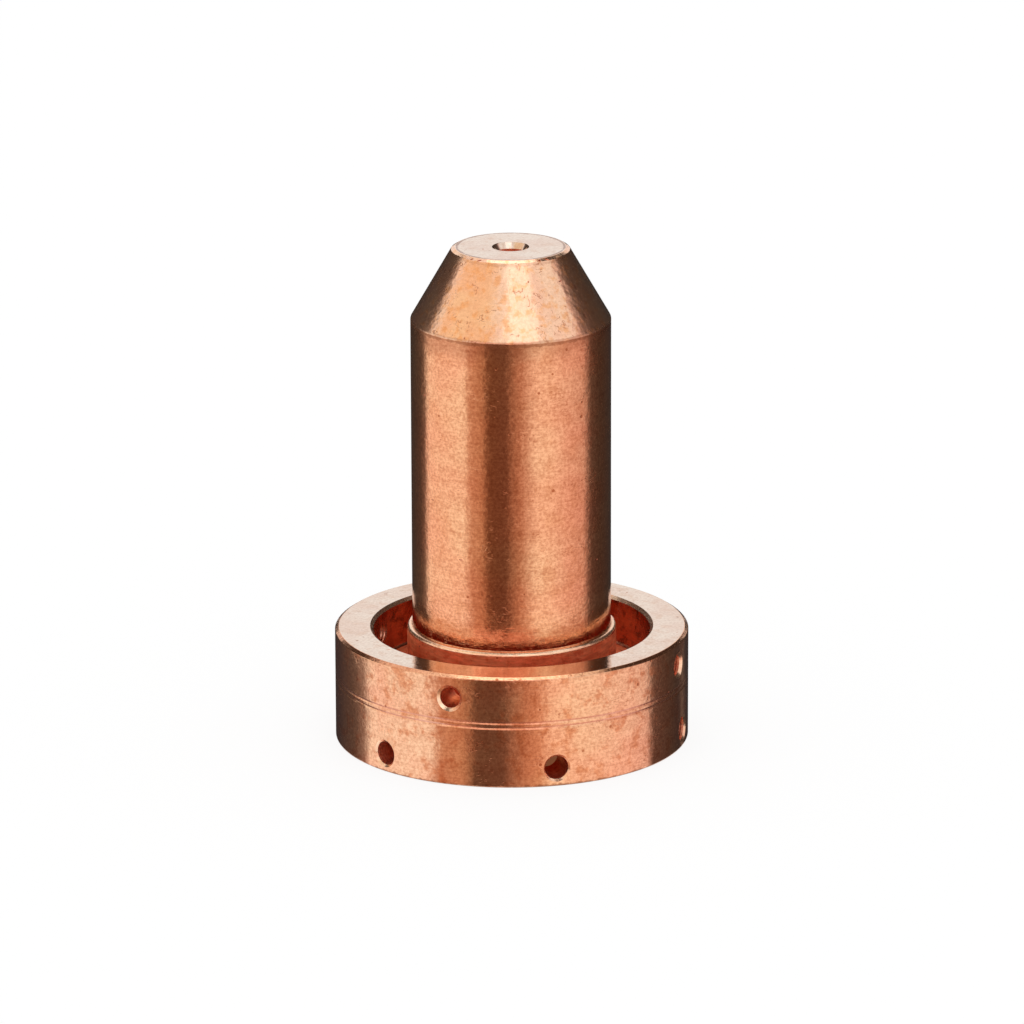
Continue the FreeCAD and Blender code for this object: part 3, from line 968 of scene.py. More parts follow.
@dataclass(frozen=True)
class CopperFinish:
    """Bare copper as one kind of cut leaves it.

    Its colour drifts from bright to rosy and is stained in patches. A tone is how much a mark
    darkens it towards the shade, a depth how far the mark stands out or sinks in the bump.
    """

    name: str
    bright: Colour
    rosy: Colour
    stained: Colour
    roughness: float
    lay: Lay = Lay.ALONG_AXIS
    mark_pitch: float = 0.08 * MM
    mark_depth: float = 0.4
    mark_tone: float = 0.1
    grain_size: float = 0.15 * MM
    grain_depth: float = 0.5
    ripple_depth: float = 1.6
    speckle: float = 0.32
    pit_spacing: float = 0.7 * MM
    pit_depth: float = 0.6
    scratch_size: float = 0.5 * MM
    scratch_stretch: float = 3.0
    scratch_share: float = 0.42
    scratch_tone: float = 0.3
    patch_size: float = 4.0 * MM
    patch_amount: float = 0.5
    patch_roughness: float = 0.1
    shade: Colour = (0.50, 0.32, 0.24)
    speckle_limits: Limits = (0.7, 0.3)
    mark_limits: Limits = (0.65, 0.35)
    # Dark rings along edges: real dirt on some finishes, painted shade on others
    dirt_and_shade_rings: tuple[Soil, ...] = ()
    dirt_and_shade_colour: Colour = (0.24, 0.08, 0.035)
    dirt_and_shade_roughness: float = 0.2
    bump_distance: float = 0.01 * MM

    @property
    def scratch_depth(self) -> float:
        """Depth of a scratch, half that of a pit."""
        return 0.5 * self.pit_depth

    def material(self, groups: FinishGroups) -> bpy.types.Material:
        """Build the material.

        Args:
            groups: the shared shader effects.

        Returns:
            A metallic material on Object coordinates.
        """
        material, sheet = new_material(self.name)
        place = sheet.add("ShaderNodeTexCoord").outputs["Object"]
        feeds = {"Place": place, "Pitch": self.mark_pitch, "Lay": float(self.lay)}
        marks = self.place_group(sheet, groups.tool_marks, feeds)
        feeds = {"Place": place, "Size": self.grain_size, "Pit Spacing": self.pit_spacing}
        grain = self.place_group(sheet, groups.grain, feeds)
        feeds = {
            "Place": place,
            "Size": self.scratch_size,
            "Stretch": self.scratch_stretch,
            "Share": self.scratch_share,
        }
        scratches = self.place_group(sheet, groups.scratches, feeds)
        feeds = {
            "Place": place,
            "Size": self.patch_size,
            "Bright": rgba(self.bright),
            "Rosy": rgba(self.rosy),
            "Stained": rgba(self.stained),
            "Amount": self.patch_amount,
        }
        tarnish = self.place_group(sheet, groups.tarnish, feeds)
        speckle = grain.outputs["Speckle"]
        pit = grain.outputs["Pit"]
        scratch = scratches.outputs["Scratch"]
        depth = 0.0
        for mask, limits, tone in (
            (speckle, self.speckle_limits, self.speckle),
            (marks.outputs["Height"], self.mark_limits, self.mark_tone),
            (scratch, (0.0, 1.0), self.scratch_tone),
            (pit, (0.0, 1.0), 1.0),
        ):
            depth = sheet.math("ADD", depth, sheet.step(mask, *limits, end=tone))
        shade = sheet.tint(depth, rgba(WHITE), rgba(self.shade))
        feeds = {0: tarnish.outputs["Colour"], 1: shade}
        shaded = sheet.add("ShaderNodeVectorMath", feeds, operation="MULTIPLY").outputs[0]
        rougher = sheet.math("MULTIPLY", tarnish.outputs["Patch"], self.patch_roughness)
        rough = sheet.math("ADD", self.roughness, rougher)
        for dirt_and_shade in self.dirt_and_shade_rings:
            mask = self.dirt_and_shade_mask(sheet, groups, place, dirt_and_shade)
            shaded = sheet.tint(mask, shaded, rgba(self.dirt_and_shade_colour))
            rough = sheet.math("ADD", rough, sheet.math("MULTIPLY", mask, self.dirt_and_shade_roughness))
        height = sheet.math("MULTIPLY", marks.outputs["Height"], self.mark_depth)
        for relief, rise in (
            (speckle, self.grain_depth),
            (grain.outputs["Ripple"], self.ripple_depth),
            (pit, -self.pit_depth),
            (scratch, -self.scratch_depth),
        ):
            height = sheet.math("ADD", height, sheet.math("MULTIPLY", relief, rise))
        feeds = {"Strength": 1.0, "Distance": self.bump_distance, "Height": height}
        bump = sheet.add("ShaderNodeBump", feeds)
        feeds = {
            "Base Color": shaded,
            "Metallic": 1.0,
            "Roughness": rough,
            "Normal": bump.outputs[0],
        }
        shader = sheet.add("ShaderNodeBsdfPrincipled", feeds)
        sheet.add("ShaderNodeOutputMaterial", {"Surface": shader.outputs[0]})
        return material

    def dirt_and_shade_mask(
        self, sheet: NodeSheet, groups: FinishGroups, place: bpy.types.NodeSocket, dirt_and_shade: Soil
    ) -> bpy.types.NodeSocket:
        """Place the mask of one dark ring, of real dirt in some places and of painted shade in
        others.

        Args:
            sheet: the material's sheet.
            groups: the shared shader effects.
            place: the Object coordinates.
            dirt_and_shade: where the dark ring lies.

        Returns:
            The mask, from 0 to the ring's amount.
        """
        feeds = {
            "Place": place,
            "Height": dirt_and_shade.height,
            "Rise": dirt_and_shade.rise,
            "Radius": dirt_and_shade.radius,
            "Spread": dirt_and_shade.spread,
            "Size": dirt_and_shade.size,
        }
        found = self.place_group(sheet, groups.dirt_and_shade, feeds).outputs["Soil"]
        return sheet.math("MULTIPLY", found, dirt_and_shade.amount)

    def place_group(
        self, sheet: NodeSheet, group: bpy.types.NodeTree, feeds: dict[str, Feed]
    ) -> bpy.types.Node:
        """Place a shared group in the material with this finish's values.

        Args:
            sheet: the material's sheet.
            group: the shader group.
            feeds: what goes into its inputs, by name.

        Returns:
            The group's node.
        """
        node = sheet.add("ShaderNodeGroup", node_tree=group)
        for name, value in feeds.items():
            sheet.feed(node.inputs[name], value)
        return node


def copper_finishes(sizes: NozzleSizes) -> dict[Cut, CopperFinish]:
    """Return the finish of each kind of cut.

    Args:
        sizes: the nozzle's sizes, which say where the dark rings of dirt and of painted shade lie.

    Returns:
        The finishes by cut.
    """
    shoulder = sizes.shoulder_height
    tip_soil = Soil(
        height=sizes.height,
        rise=1.0 * MM,
        radius=sizes.tip_radius - 0.22 * MM,
        spread=0.2 * MM,
        size=0.5 * MM,
    )
    # Painted bounce light: roughed copper is a deep red, for the light that bounces between the
    # copper walls of the groove and the throat
    roughed = CopperFinish(
        name="roughed_copper",
        bright=(1.0, 0.36, 0.18),
        rosy=(1.0, 0.28, 0.13),
        stained=(0.86, 0.19, 0.08),
        roughness=0.72,
        mark_pitch=0.16 * MM,
        mark_depth=1.8,
        mark_tone=0.5,
        grain_depth=0.6,
        speckle=0.1,
        scratch_tone=0.1,
        patch_size=2.0 * MM,
        patch_amount=0.7,
        dirt_and_shade_rings=(
            # Painted shade at the top of the groove's inner wall, just under the ledge's lip
            Soil(height=sizes.ledge_top - 0.08 * MM, rise=0.14 * MM, size=1.2 * MM, amount=0.6),
        ),
    )
    return {
        # Painted highlight: faced copper is paler than bare copper, for the washed-out overhead
        # light that the faces across the axis mirror
        Cut.FACED: CopperFinish(
            name="faced_copper",
            bright=(0.87, 0.72, 0.60),
            rosy=(0.83, 0.63, 0.51),
            stained=(0.75, 0.50, 0.36),
            roughness=0.1,
            lay=Lay.OUT_FROM_AXIS,
            mark_depth=0.12,
            mark_tone=0.04,
            grain_depth=0.15,
            ripple_depth=0.5,
            scratch_share=0.38,
            patch_size=2.4 * MM,
            patch_amount=0.6,
            dirt_and_shade_rings=(tip_soil,),
        ),
        Cut.TURNED: CopperFinish(
            name="turned_copper",
            bright=(0.98, 0.54, 0.31),
            rosy=(0.97, 0.47, 0.27),
            stained=(0.82, 0.36, 0.18),
            roughness=0.14,
            speckle=0.52,
            mark_tone=0.24,
            ripple_depth=1.0,
            dirt_and_shade_rings=(
                Soil(height=shoulder - 0.12 * MM, rise=0.28 * MM, amount=0.5),
                Soil(height=shoulder, rise=2.6 * MM, size=2.4 * MM, amount=0.3),
            ),
        ),
        Cut.HANDLED: CopperFinish(
            name="handled_copper",
            bright=(0.98, 0.58, 0.36),
            rosy=(0.97, 0.50, 0.31),
            stained=(0.77, 0.31, 0.15),
            roughness=0.15,
            speckle=0.5,
            mark_tone=0.2,
            ripple_depth=1.0,
            patch_size=2.8 * MM,
            patch_amount=0.85,
            # Painted contact shadow: a dark ring along the foot, where the nozzle stands on the
            # floor
            dirt_and_shade_rings=(Soil(height=0.0, rise=0.34 * MM),),
        ),
        # Partly a painted highlight: the nose copper is paler than the barrel's, with the cream
        # light on the cone mixed into its colour
        Cut.NOSE: CopperFinish(
            name="nose_copper",
            bright=(1.0, 0.65, 0.44),
            rosy=(0.99, 0.59, 0.40),
            stained=(0.95, 0.46, 0.20),
            roughness=0.17,
            ripple_depth=2.0,
            speckle=0.22,
            pit_spacing=0.45 * MM,
            scratch_size=0.34 * MM,
            scratch_stretch=1.0,
            scratch_share=0.44,
            scratch_tone=0.6,
            patch_size=1.8 * MM,
            patch_amount=0.7,
            dirt_and_shade_rings=(
                Soil(height=shoulder, rise=0.22 * MM, amount=0.35),
                Soil(height=sizes.height - 0.2 * MM, rise=0.2 * MM, size=0.25 * MM, amount=0.2),
            ),
        ),
        # Partly painted shade: bored copper is darker than bare copper, for the shade in the
        # groove, the bores and the nicks
        Cut.BORED: CopperFinish(
            name="bored_copper",
            bright=(0.68, 0.28, 0.17),
            rosy=(0.58, 0.20, 0.12),
            stained=(0.26, 0.09, 0.05),
            roughness=0.2,
            mark_depth=0.8,
            mark_tone=0.4,
            speckle=0.1,
            scratch_tone=0.1,
            patch_amount=0.8,
            patch_size=2.4 * MM,
        ),
        Cut.DRILLED: CopperFinish(
            name="drilled_copper",
            bright=(1.0, 0.56, 0.40),
            rosy=(0.94, 0.44, 0.30),
            stained=(0.70, 0.28, 0.16),
            roughness=0.34,
            mark_depth=1.2,
            mark_tone=0.3,
            patch_size=1.0 * MM,
            patch_amount=0.6,
        ),
        Cut.ROUGHED: roughed,
        # The recess floors take the same red, painted bounce light
        Cut.RECESS_FLOOR: replace(roughed, name="floor_copper", lay=Lay.OUT_FROM_AXIS, dirt_and_shade_rings=()),
        # Painted shade: scribed copper is dark, for the upper face of each fine line, which tilts
        # down away from the light
        Cut.SCRIBED: CopperFinish(
            name="scribed_copper",
            bright=(0.84, 0.44, 0.32),
            rosy=(0.72, 0.32, 0.21),
            stained=(0.44, 0.17, 0.10),
            roughness=0.26,
            mark_depth=0.1,
        ),
        # Painted highlight: edge copper is paler and creamier than bare copper, for the glints on
        # broken edges, chamfers and countersinks
        Cut.BROKEN_EDGE: CopperFinish(
            name="edge_copper",
            bright=(1.0, 0.70, 0.49),
            rosy=(1.0, 0.62, 0.42),
            stained=(0.86, 0.42, 0.24),
            roughness=0.24,
            mark_depth=0.3,
            mark_tone=0.05,
            speckle=0.24,
            patch_size=1.6 * MM,
        ),
    }


# The nozzle


@dataclass(frozen=True)
class HoleRow:
    """A row of countersunk gas holes through the flange wall.

    Azimuth is that of the first hole, and start is how far from the axis the cut begins.
    """

    name: str
    radius: float
    mouth_radius: float
    count: int
    azimuth: float
    height: float
    start: float


@dataclass(frozen=True)
class Nick:
    """A small mark of wear: where it is, and how far it reaches across, deep and up."""

    azimuth: float
    radius: float
    height: float
    reach: tuple[float, float, float]


@dataclass(frozen=True)
class Nozzle:
    """The nozzle: a turned form with two rows of radial gas holes."""

    sizes: NozzleSizes
    segments: int = 336
    hole_segments: int = 48
    line_wander: float = 0.06 * MM
    line_seed: float = 3.0
    hole_mouth_angle: float = math.radians(45)
    drill_pitch: float = 0.17 * MM
    drill_ridge: float = 0.02 * MM
    ridge_share: float = 0.7
    cutter_overrun: float = 0.3 * MM
    nick_seed: int = 8
    nick_density: float = 60000.0
    smallest_nick: float = 0.02 * MM
    largest_nick: float = 0.06 * MM
    sharp_angle: float = math.radians(24)

    def rows(self) -> tuple[HoleRow, ...]:
        """Set out the rows of gas holes.

        Returns:
            The upper row, into the front groove, and the lower row, into the rear seat.
        """
        sizes = self.sizes
        return (
            HoleRow(
                name="upper",
                radius=0.53 * MM,
                mouth_radius=0.68 * MM,
                count=4,
                azimuth=math.radians(-20.4),
                height=sizes.groove_floor + sizes.groove_depth / 2,
                start=sizes.ledge_radius + sizes.groove_width / 2,
            ),
            HoleRow(
                name="lower",
                radius=0.6 * MM,
                mouth_radius=0.71 * MM,
                count=6,
                azimuth=math.radians(-45.5),
                height=sizes.seat_depth / 2,
                start=(sizes.chamber_radius + sizes.seat_radius) / 2,
            ),
        )

    def outline(self) -> Outline:
        """Set out the turned outline.

        Returns:
            The outline, from the orifice outwards and back along the bores.
        """
        s = self.sizes
        top = s.height
        mouth_depth = (s.mouth_radius - s.orifice_radius) / math.tan(s.mouth_half_angle)
        throat = top - s.nose_thickness
        funnel = (s.chamber_radius - s.orifice_radius) / math.tan(s.funnel_half_angle)
        rim = s.flange_radius
        second = s.line_height + s.second_line_rise
        half = s.line_half_width
        nose_radius = s.tip_radius + s.tip_flat_drop * math.tan(s.nose_half_angle)
        nose_top = top - s.tip_flat_drop
        floor = s.groove_floor
        corners = (
            Corner(s.mouth_radius, top, Cut.FACED, s.mouth_round, arc=Cut.FACED),
            Corner(s.tip_radius - s.tip_flat_run, top, Cut.NOSE, s.flat_round, arc=Cut.NOSE),
            Corner(nose_radius, nose_top, Cut.NOSE, s.flat_round, arc=Cut.NOSE),
            Corner(s.barrel_radius, s.shoulder_height, Cut.TURNED, s.shoulder_round, arc=Cut.NOSE),
            Corner(s.barrel_radius, s.ledge_top, Cut.TURNED, s.root_round, arc=Cut.TURNED),
            Corner(s.ledge_radius, s.ledge_top, Cut.ROUGHED, s.ledge_round),
            Corner(s.ledge_radius, floor, Cut.RECESS_FLOOR, s.groove_corner, arc=Cut.ROUGHED),
            Corner(s.groove_radius, floor, Cut.BORED, s.groove_corner, arc=Cut.BORED),
            Corner(s.groove_radius, s.flange_top - s.groove_rim, Cut.BROKEN_EDGE),
            Corner(s.groove_radius + s.groove_rim, s.flange_top, Cut.FACED),
            Corner(rim - s.rim_flat_run, s.flange_top, Cut.TURNED, s.flat_round, arc=Cut.TURNED),
            Corner(rim, s.flange_top - s.rim_flat_drop, Cut.HANDLED, s.flat_round, arc=Cut.HANDLED),
            # The upper face of each fine line is scribed, painted dark as shade
            Corner(rim, second + half, Cut.SCRIBED, line=TurnedLine.SECOND),
            Corner(rim - s.second_line_depth, second, Cut.HANDLED, line=TurnedLine.SECOND),
            Corner(rim, second - half, Cut.HANDLED, line=TurnedLine.SECOND),
            Corner(rim, s.line_height + half, Cut.SCRIBED, line=TurnedLine.MAIN),
            Corner(rim - s.line_depth, s.line_height, Cut.HANDLED, line=TurnedLine.MAIN),
            Corner(rim, s.line_height - half, Cut.HANDLED, line=TurnedLine.MAIN),
            Corner(rim, 0.0, Cut.FACED, s.rear_round, arc=Cut.HANDLED),
            Corner(s.seat_radius + s.seat_chamfer, 0.0, Cut.BROKEN_EDGE),
            Corner(s.seat_radius, s.seat_chamfer, Cut.BORED),
            Corner(s.seat_radius, s.seat_depth, Cut.RECESS_FLOOR, s.seat_corner),
            Corner(s.chamber_radius + s.chamber_chamfer, s.seat_depth, Cut.BROKEN_EDGE),
            Corner(s.chamber_radius, s.seat_depth + s.chamber_chamfer, Cut.BORED),
            Corner(s.chamber_radius, throat - funnel, Cut.BORED, s.chamber_corner),
            Corner(s.orifice_radius, throat, Cut.ROUGHED, s.throat_round),
            Corner(s.orifice_radius, top - mouth_depth, Cut.FACED),
        )
        return Outline(corners)

    def cutter_outline(self, row: HoleRow) -> Outline:
        """Set out a drill with its countersink, ridged as a drill cuts.

        Args:
            row: the row of holes that it cuts.

        Returns:
            The drill's outline, open on its axis.
        """
        rim = self.sizes.flange_radius
        slope = math.tan(self.hole_mouth_angle)
        mouth_start = rim - (row.mouth_radius - row.radius) / slope
        reach = row.mouth_radius + self.cutter_overrun * slope
        corners = [
            Corner(0.0, rim + self.cutter_overrun, Cut.DRILLED),
            Corner(reach, rim + self.cutter_overrun, Cut.BROKEN_EDGE),
            Corner(row.radius, mouth_start, Cut.DRILLED),
        ]
        ridges = math.floor((mouth_start - row.start) / self.drill_pitch)
        for ridge in range(ridges):
            along = mouth_start - ridge * self.drill_pitch
            crest = along - self.drill_pitch * self.ridge_share
            corners.append(Corner(row.radius - self.drill_ridge, crest, Cut.DRILLED))
            corners.append(Corner(row.radius, along - self.drill_pitch, Cut.DRILLED))
        corners.append(Corner(row.radius, row.start, Cut.DRILLED))
        corners.append(Corner(0.0, row.start, Cut.DRILLED))
        return Outline(tuple(corners), closed=False)

    def nicks(self) -> tuple[Nick, ...]:
        """Set out the marks of wear that stand out.

        Returns:
            Four on the edge of the tip face, and one in the face.
        """
        s = self.sizes
        edge = 0.08 * MM
        return (
            Nick(-32.0, s.tip_radius, s.height - edge, (0.16 * MM, 0.05 * MM, 0.05 * MM)),
            Nick(-41.0, s.tip_radius, s.height - edge, (0.10 * MM, 0.06 * MM, 0.05 * MM)),
            Nick(38.0, s.tip_radius, s.height - edge, (0.18 * MM, 0.06 * MM, 0.06 * MM)),
            Nick(29.0, s.tip_radius, s.height - edge, (0.12 * MM, 0.05 * MM, 0.04 * MM)),
            Nick(-70.0, 1.45 * MM, s.height, (0.05 * MM, 0.05 * MM, 0.03 * MM)),
        )

    def marks(self) -> bpy.types.Object:
        """Make a mesh of points that carries the nicks for the geometry tree.

        Returns:
            The object, whose points hold their reach in the size attribute.
        """
        nicks = self.nicks()
        places = []
        for nick in nicks:
            turn = math.radians(nick.azimuth)
            across = nick.radius * math.sin(turn)
            deep = -nick.radius * math.cos(turn)
            places.append((across, deep, nick.height))
        piece = new_object("wear_marks", places)
        sizes = piece.data.attributes.new("size", "FLOAT_VECTOR", "POINT")
        sizes.data.foreach_set("vector", [part for nick in nicks for part in nick.reach])
        return piece

    def build(self, form: TurnedForm) -> bpy.types.Object:
        """Turn the outline, drill the holes and wear the surface.

        Args:
            form: the geometry trees.

        Returns:
            The finished piece, a plain mesh.
        """
        piece = self.outline().mesh("copper_nozzle")
        add_tree(
            piece,
            form.turn,
            Segments=self.segments,
            Closed=1,
            Wander=self.line_wander,
            Seed=self.line_seed,
        )
        helpers = []
        for row in self.rows():
            cutter = self.cutter_outline(row).mesh(f"{row.name}_drill")
            add_tree(cutter, form.turn, Segments=self.hole_segments, Closed=0)
            settle(cutter)
            helpers.append(cutter)
            add_tree(
                piece,
                form.drill,
                Cutter=cutter,
                Count=row.count,
                Azimuth=row.azimuth,
                Height=row.height,
            )
        marks = self.marks()
        helpers.append(marks)
        add_tree(
            piece,
            form.nick,
            Marks=marks,
            Seed=self.nick_seed,
            Density=self.nick_density,
            Smallest=self.smallest_nick,
            Largest=self.largest_nick,
        )
        settle(piece)
        for helper in helpers:
            bpy.data.objects.remove(helper)
        piece.data.set_sharp_from_angle(angle=self.sharp_angle)
        return piece


# The studio


@dataclass(frozen=True)
class PhotoCamera:
    """The camera that took the photograph, as fitted to the outlines in it."""

    eye: Vector = Vector((0.0, -0.35707, 0.11797))
    target: Vector = Vector((0.0000334, 0.0, 0.011602))
    roll: float = -0.003
    focal_pixels: float = 7429.845
    sensor: float = 36.0

    def build(self) -> bpy.types.Object:
        """Make the camera and use it for the scene.

        Returns:
            The camera.
        """
        data = bpy.data.cameras.new("photo_camera")
        data.sensor_width = self.sensor
        data.lens = self.focal_pixels * self.sensor / PICTURE_SIDE
        camera = bpy.data.objects.new("photo_camera", data)
        forward = (self.target - self.eye).normalized()
        right = forward.cross(Vector((0.0, 0.0, 1.0))).normalized()
        up = right.cross(forward)
        rolled_right = right * math.cos(self.roll) + up * math.sin(self.roll)
        rolled_up = rolled_right.cross(forward)
        axes = Matrix((rolled_right, rolled_up, -forward)).transposed()
        camera.matrix_world = Matrix.Translation(self.eye) @ axes.to_4x4()
        bpy.context.scene.collection.objects.link(camera)
        bpy.context.scene.camera = camera
        return camera


@dataclass(frozen=True)
class SoftLamp:
    """A square soft lamp, by where it stands, its side and how bright it looks."""

    name: str
    place: Place
    side: float
    brightness: float

    def build(self, aim: Vector) -> bpy.types.Object:
        """Make the lamp and aim it.

        Args:
            aim: the point that it faces.

        Returns:
            The lamp.
        """
        data = bpy.data.lights.new(self.name, "AREA")
        data.size = self.side
        data.energy = self.brightness * math.pi * self.side**2
        lamp = bpy.data.objects.new(self.name, data)
        lamp.location = self.place
        lamp.rotation_euler = (aim - Vector(self.place)).to_track_quat("-Z", "Y").to_euler()
        bpy.context.scene.collection.objects.link(lamp)
        return lamp


@dataclass(frozen=True)
class Tone:
    """A glowing colour of a card, a painted reflection, at an azimuth of the round wall that
    mirrors it.
    """

    azimuth: float
    colour: Colour


# Painted reflections on the right side of the barrel, on the floor and in the surround alike
RIGHT_TONES = (
    Tone(34.0, (0.98, 0.80, 0.78)),
    Tone(46.0, (0.80, 0.60, 0.58)),
    Tone(51.0, (0.14, 0.10, 0.09)),
    Tone(60.0, (0.08, 0.06, 0.05)),
    Tone(90.0, (0.03, 0.03, 0.03)),
)


@dataclass(frozen=True)
class PaintedReflection:
    """Painted reflection tones round a card, by the azimuth of the round wall that mirrors them."""

    tones: tuple[Tone, ...]

    def colour(self, azimuth: float) -> Colour:
        """Find the printed colour for a wall azimuth.

        Args:
            azimuth: the azimuth, in degrees.

        Returns:
            The colour, blended from the tones on either side.
        """
        for before, after in zip(self.tones, self.tones[1:]):
            if azimuth <= after.azimuth:
                share = (azimuth - before.azimuth) / (after.azimuth - before.azimuth)
                return tuple(a + (b - a) * share for a, b in zip(before.colour, after.colour))
        return self.tones[-1].colour


@dataclass(frozen=True)
class Card:
    """A glowing card that only the copper mirrors, whose colours are painted reflections: bright
    bands are painted highlights, dark ones painted shade. Its strips run out or up from the nozzle.
    """

    name: str
    tones: PaintedReflection
    step: float = 1.0

    def strip(self, azimuth: float) -> tuple[Place, Place]:
        """Return the two ends of the card's strip for a wall azimuth in degrees."""
        raise NotImplementedError

    def build(self, low: float, high: float) -> bpy.types.Object:
        """Make the card between two wall azimuths.

        Args:
            low: the first azimuth, in degrees.
            high: the last one.

        Returns:
            The card, with its painted reflection in a colour attribute.
        """
        columns = round((high - low) / self.step)
        vertices = []
        colours = []
        for i in range(columns + 1):
            azimuth = low + (high - low) * i / columns
            vertices.extend(self.strip(azimuth))
            colours.extend((*self.tones.colour(azimuth), 1.0) * 2)
        faces = tuple((2 * i, 2 * i + 1, 2 * i + 3, 2 * i + 2) for i in range(columns))
        card = new_object(self.name, vertices, faces)
        attribute = card.data.attributes.new("print", "FLOAT_COLOR", "POINT")
        attribute.data.foreach_set("color", colours)
        card.data.materials.append(self.material())
        show_to_mirrors_only(card)
        return card

    def material(self) -> bpy.types.Material:
        """Build the card's glow from its painted reflection.

        Returns:
            The material.
        """
        material, sheet = new_material(self.name)
        colour = sheet.add("ShaderNodeAttribute", attribute_name="print").outputs["Color"]
        glow = sheet.add("ShaderNodeEmission", {"Color": colour, "Strength": 1.0})
        sheet.add("ShaderNodeOutputMaterial", {"Surface": glow.outputs[0]})
        return material


@dataclass(frozen=True)
class FloorCard(Card):
    """A card on the floor, seen in a round wall from above.

    The wall mirrors the floor along lines that leave it at twice the wall's azimuth, so the
    card's strips are laid along those lines.
    """

    wall_radius: float = 0.0
    nearest: float = 0.0
    farthest: float = 0.0
    lift: float = 0.0

    def strip(self, azimuth: float) -> tuple[Place, Place]:
        """Lay one strip on the floor.

        Args:
            azimuth: the azimuth of the wall that mirrors it, in degrees.

        Returns:
            The strip's near end and its far one.
        """
        wall = math.radians(azimuth)
        ends = []
        for distance in (self.nearest, self.farthest):
            x = self.wall_radius * math.sin(wall) + distance * math.sin(2 * wall)
            y = -self.wall_radius * math.cos(wall) - distance * math.cos(2 * wall)
            ends.append((x, y, self.lift))
        return ends[0], ends[1]


@dataclass(frozen=True)
class StandingCard(Card):
    """A card that stands round the set. Its edges are given by bearings and angles of rise."""

    distance: float = 0.0
    feet: tuple[tuple[float, float], ...] = ((0.0, 0.0),)
    tops: tuple[tuple[float, float], ...] = ()

    def strip(self, azimuth: float) -> tuple[Place, Place]:
        """Stand one strip up.

        Args:
            azimuth: the azimuth of the wall that mirrors it, in degrees.

        Returns:
            The strip's foot and its top.
        """
        turn = math.radians(2 * azimuth)
        x = self.distance * math.sin(turn)
        y = -self.distance * math.cos(turn)
        foot, top = (self.height(edge, 2 * azimuth) for edge in (self.feet, self.tops))
        return (x, y, foot), (x, y, top)

    def height(self, edge: tuple[tuple[float, float], ...], bearing: float) -> float:
        """Find the height of an edge of the card.

        Args:
            edge: bearings and angles of rise along the edge, in degrees.
            bearing: the bearing of the strip, in degrees.

        Returns:
            The height in metres.
        """
        rise = edge[-1][1]
        for before, after in zip(edge, edge[1:]):
            if bearing <= after[0]:
                share = (bearing - before[0]) / (after[0] - before[0])
                rise = before[1] + (after[1] - before[1]) * share
                break
        return self.distance * math.tan(math.radians(rise))


@dataclass(frozen=True)
class CeilingCard(Card):
    """A level card over the set, between two angles of rise."""

    height: float = 0.0
    nearest_rise: float = 0.0
    farthest_rise: float = 0.0

    def strip(self, azimuth: float) -> tuple[Place, Place]:
        """Hang one strip overhead.

        Args:
            azimuth: the azimuth of the wall that mirrors it, in degrees.

        Returns:
            The strip's near end and its far one.
        """
        turn = math.radians(2 * azimuth)
        ends = []
        for rise in (self.nearest_rise, self.farthest_rise):
            distance = self.height / math.tan(math.radians(rise))
            ends.append((distance * math.sin(turn), -distance * math.cos(turn), self.height))
        return ends[0], ends[1]


def show_to_mirrors_only(piece: bpy.types.Object) -> None:
    """Leave a card to reflections, so it neither shows nor shades the floor.

    Args:
        piece: the card.
    """
    piece.visible_camera = False
    piece.visible_diffuse = False
    piece.visible_transmission = False
    piece.visible_volume_scatter = False
    piece.visible_shadow = False


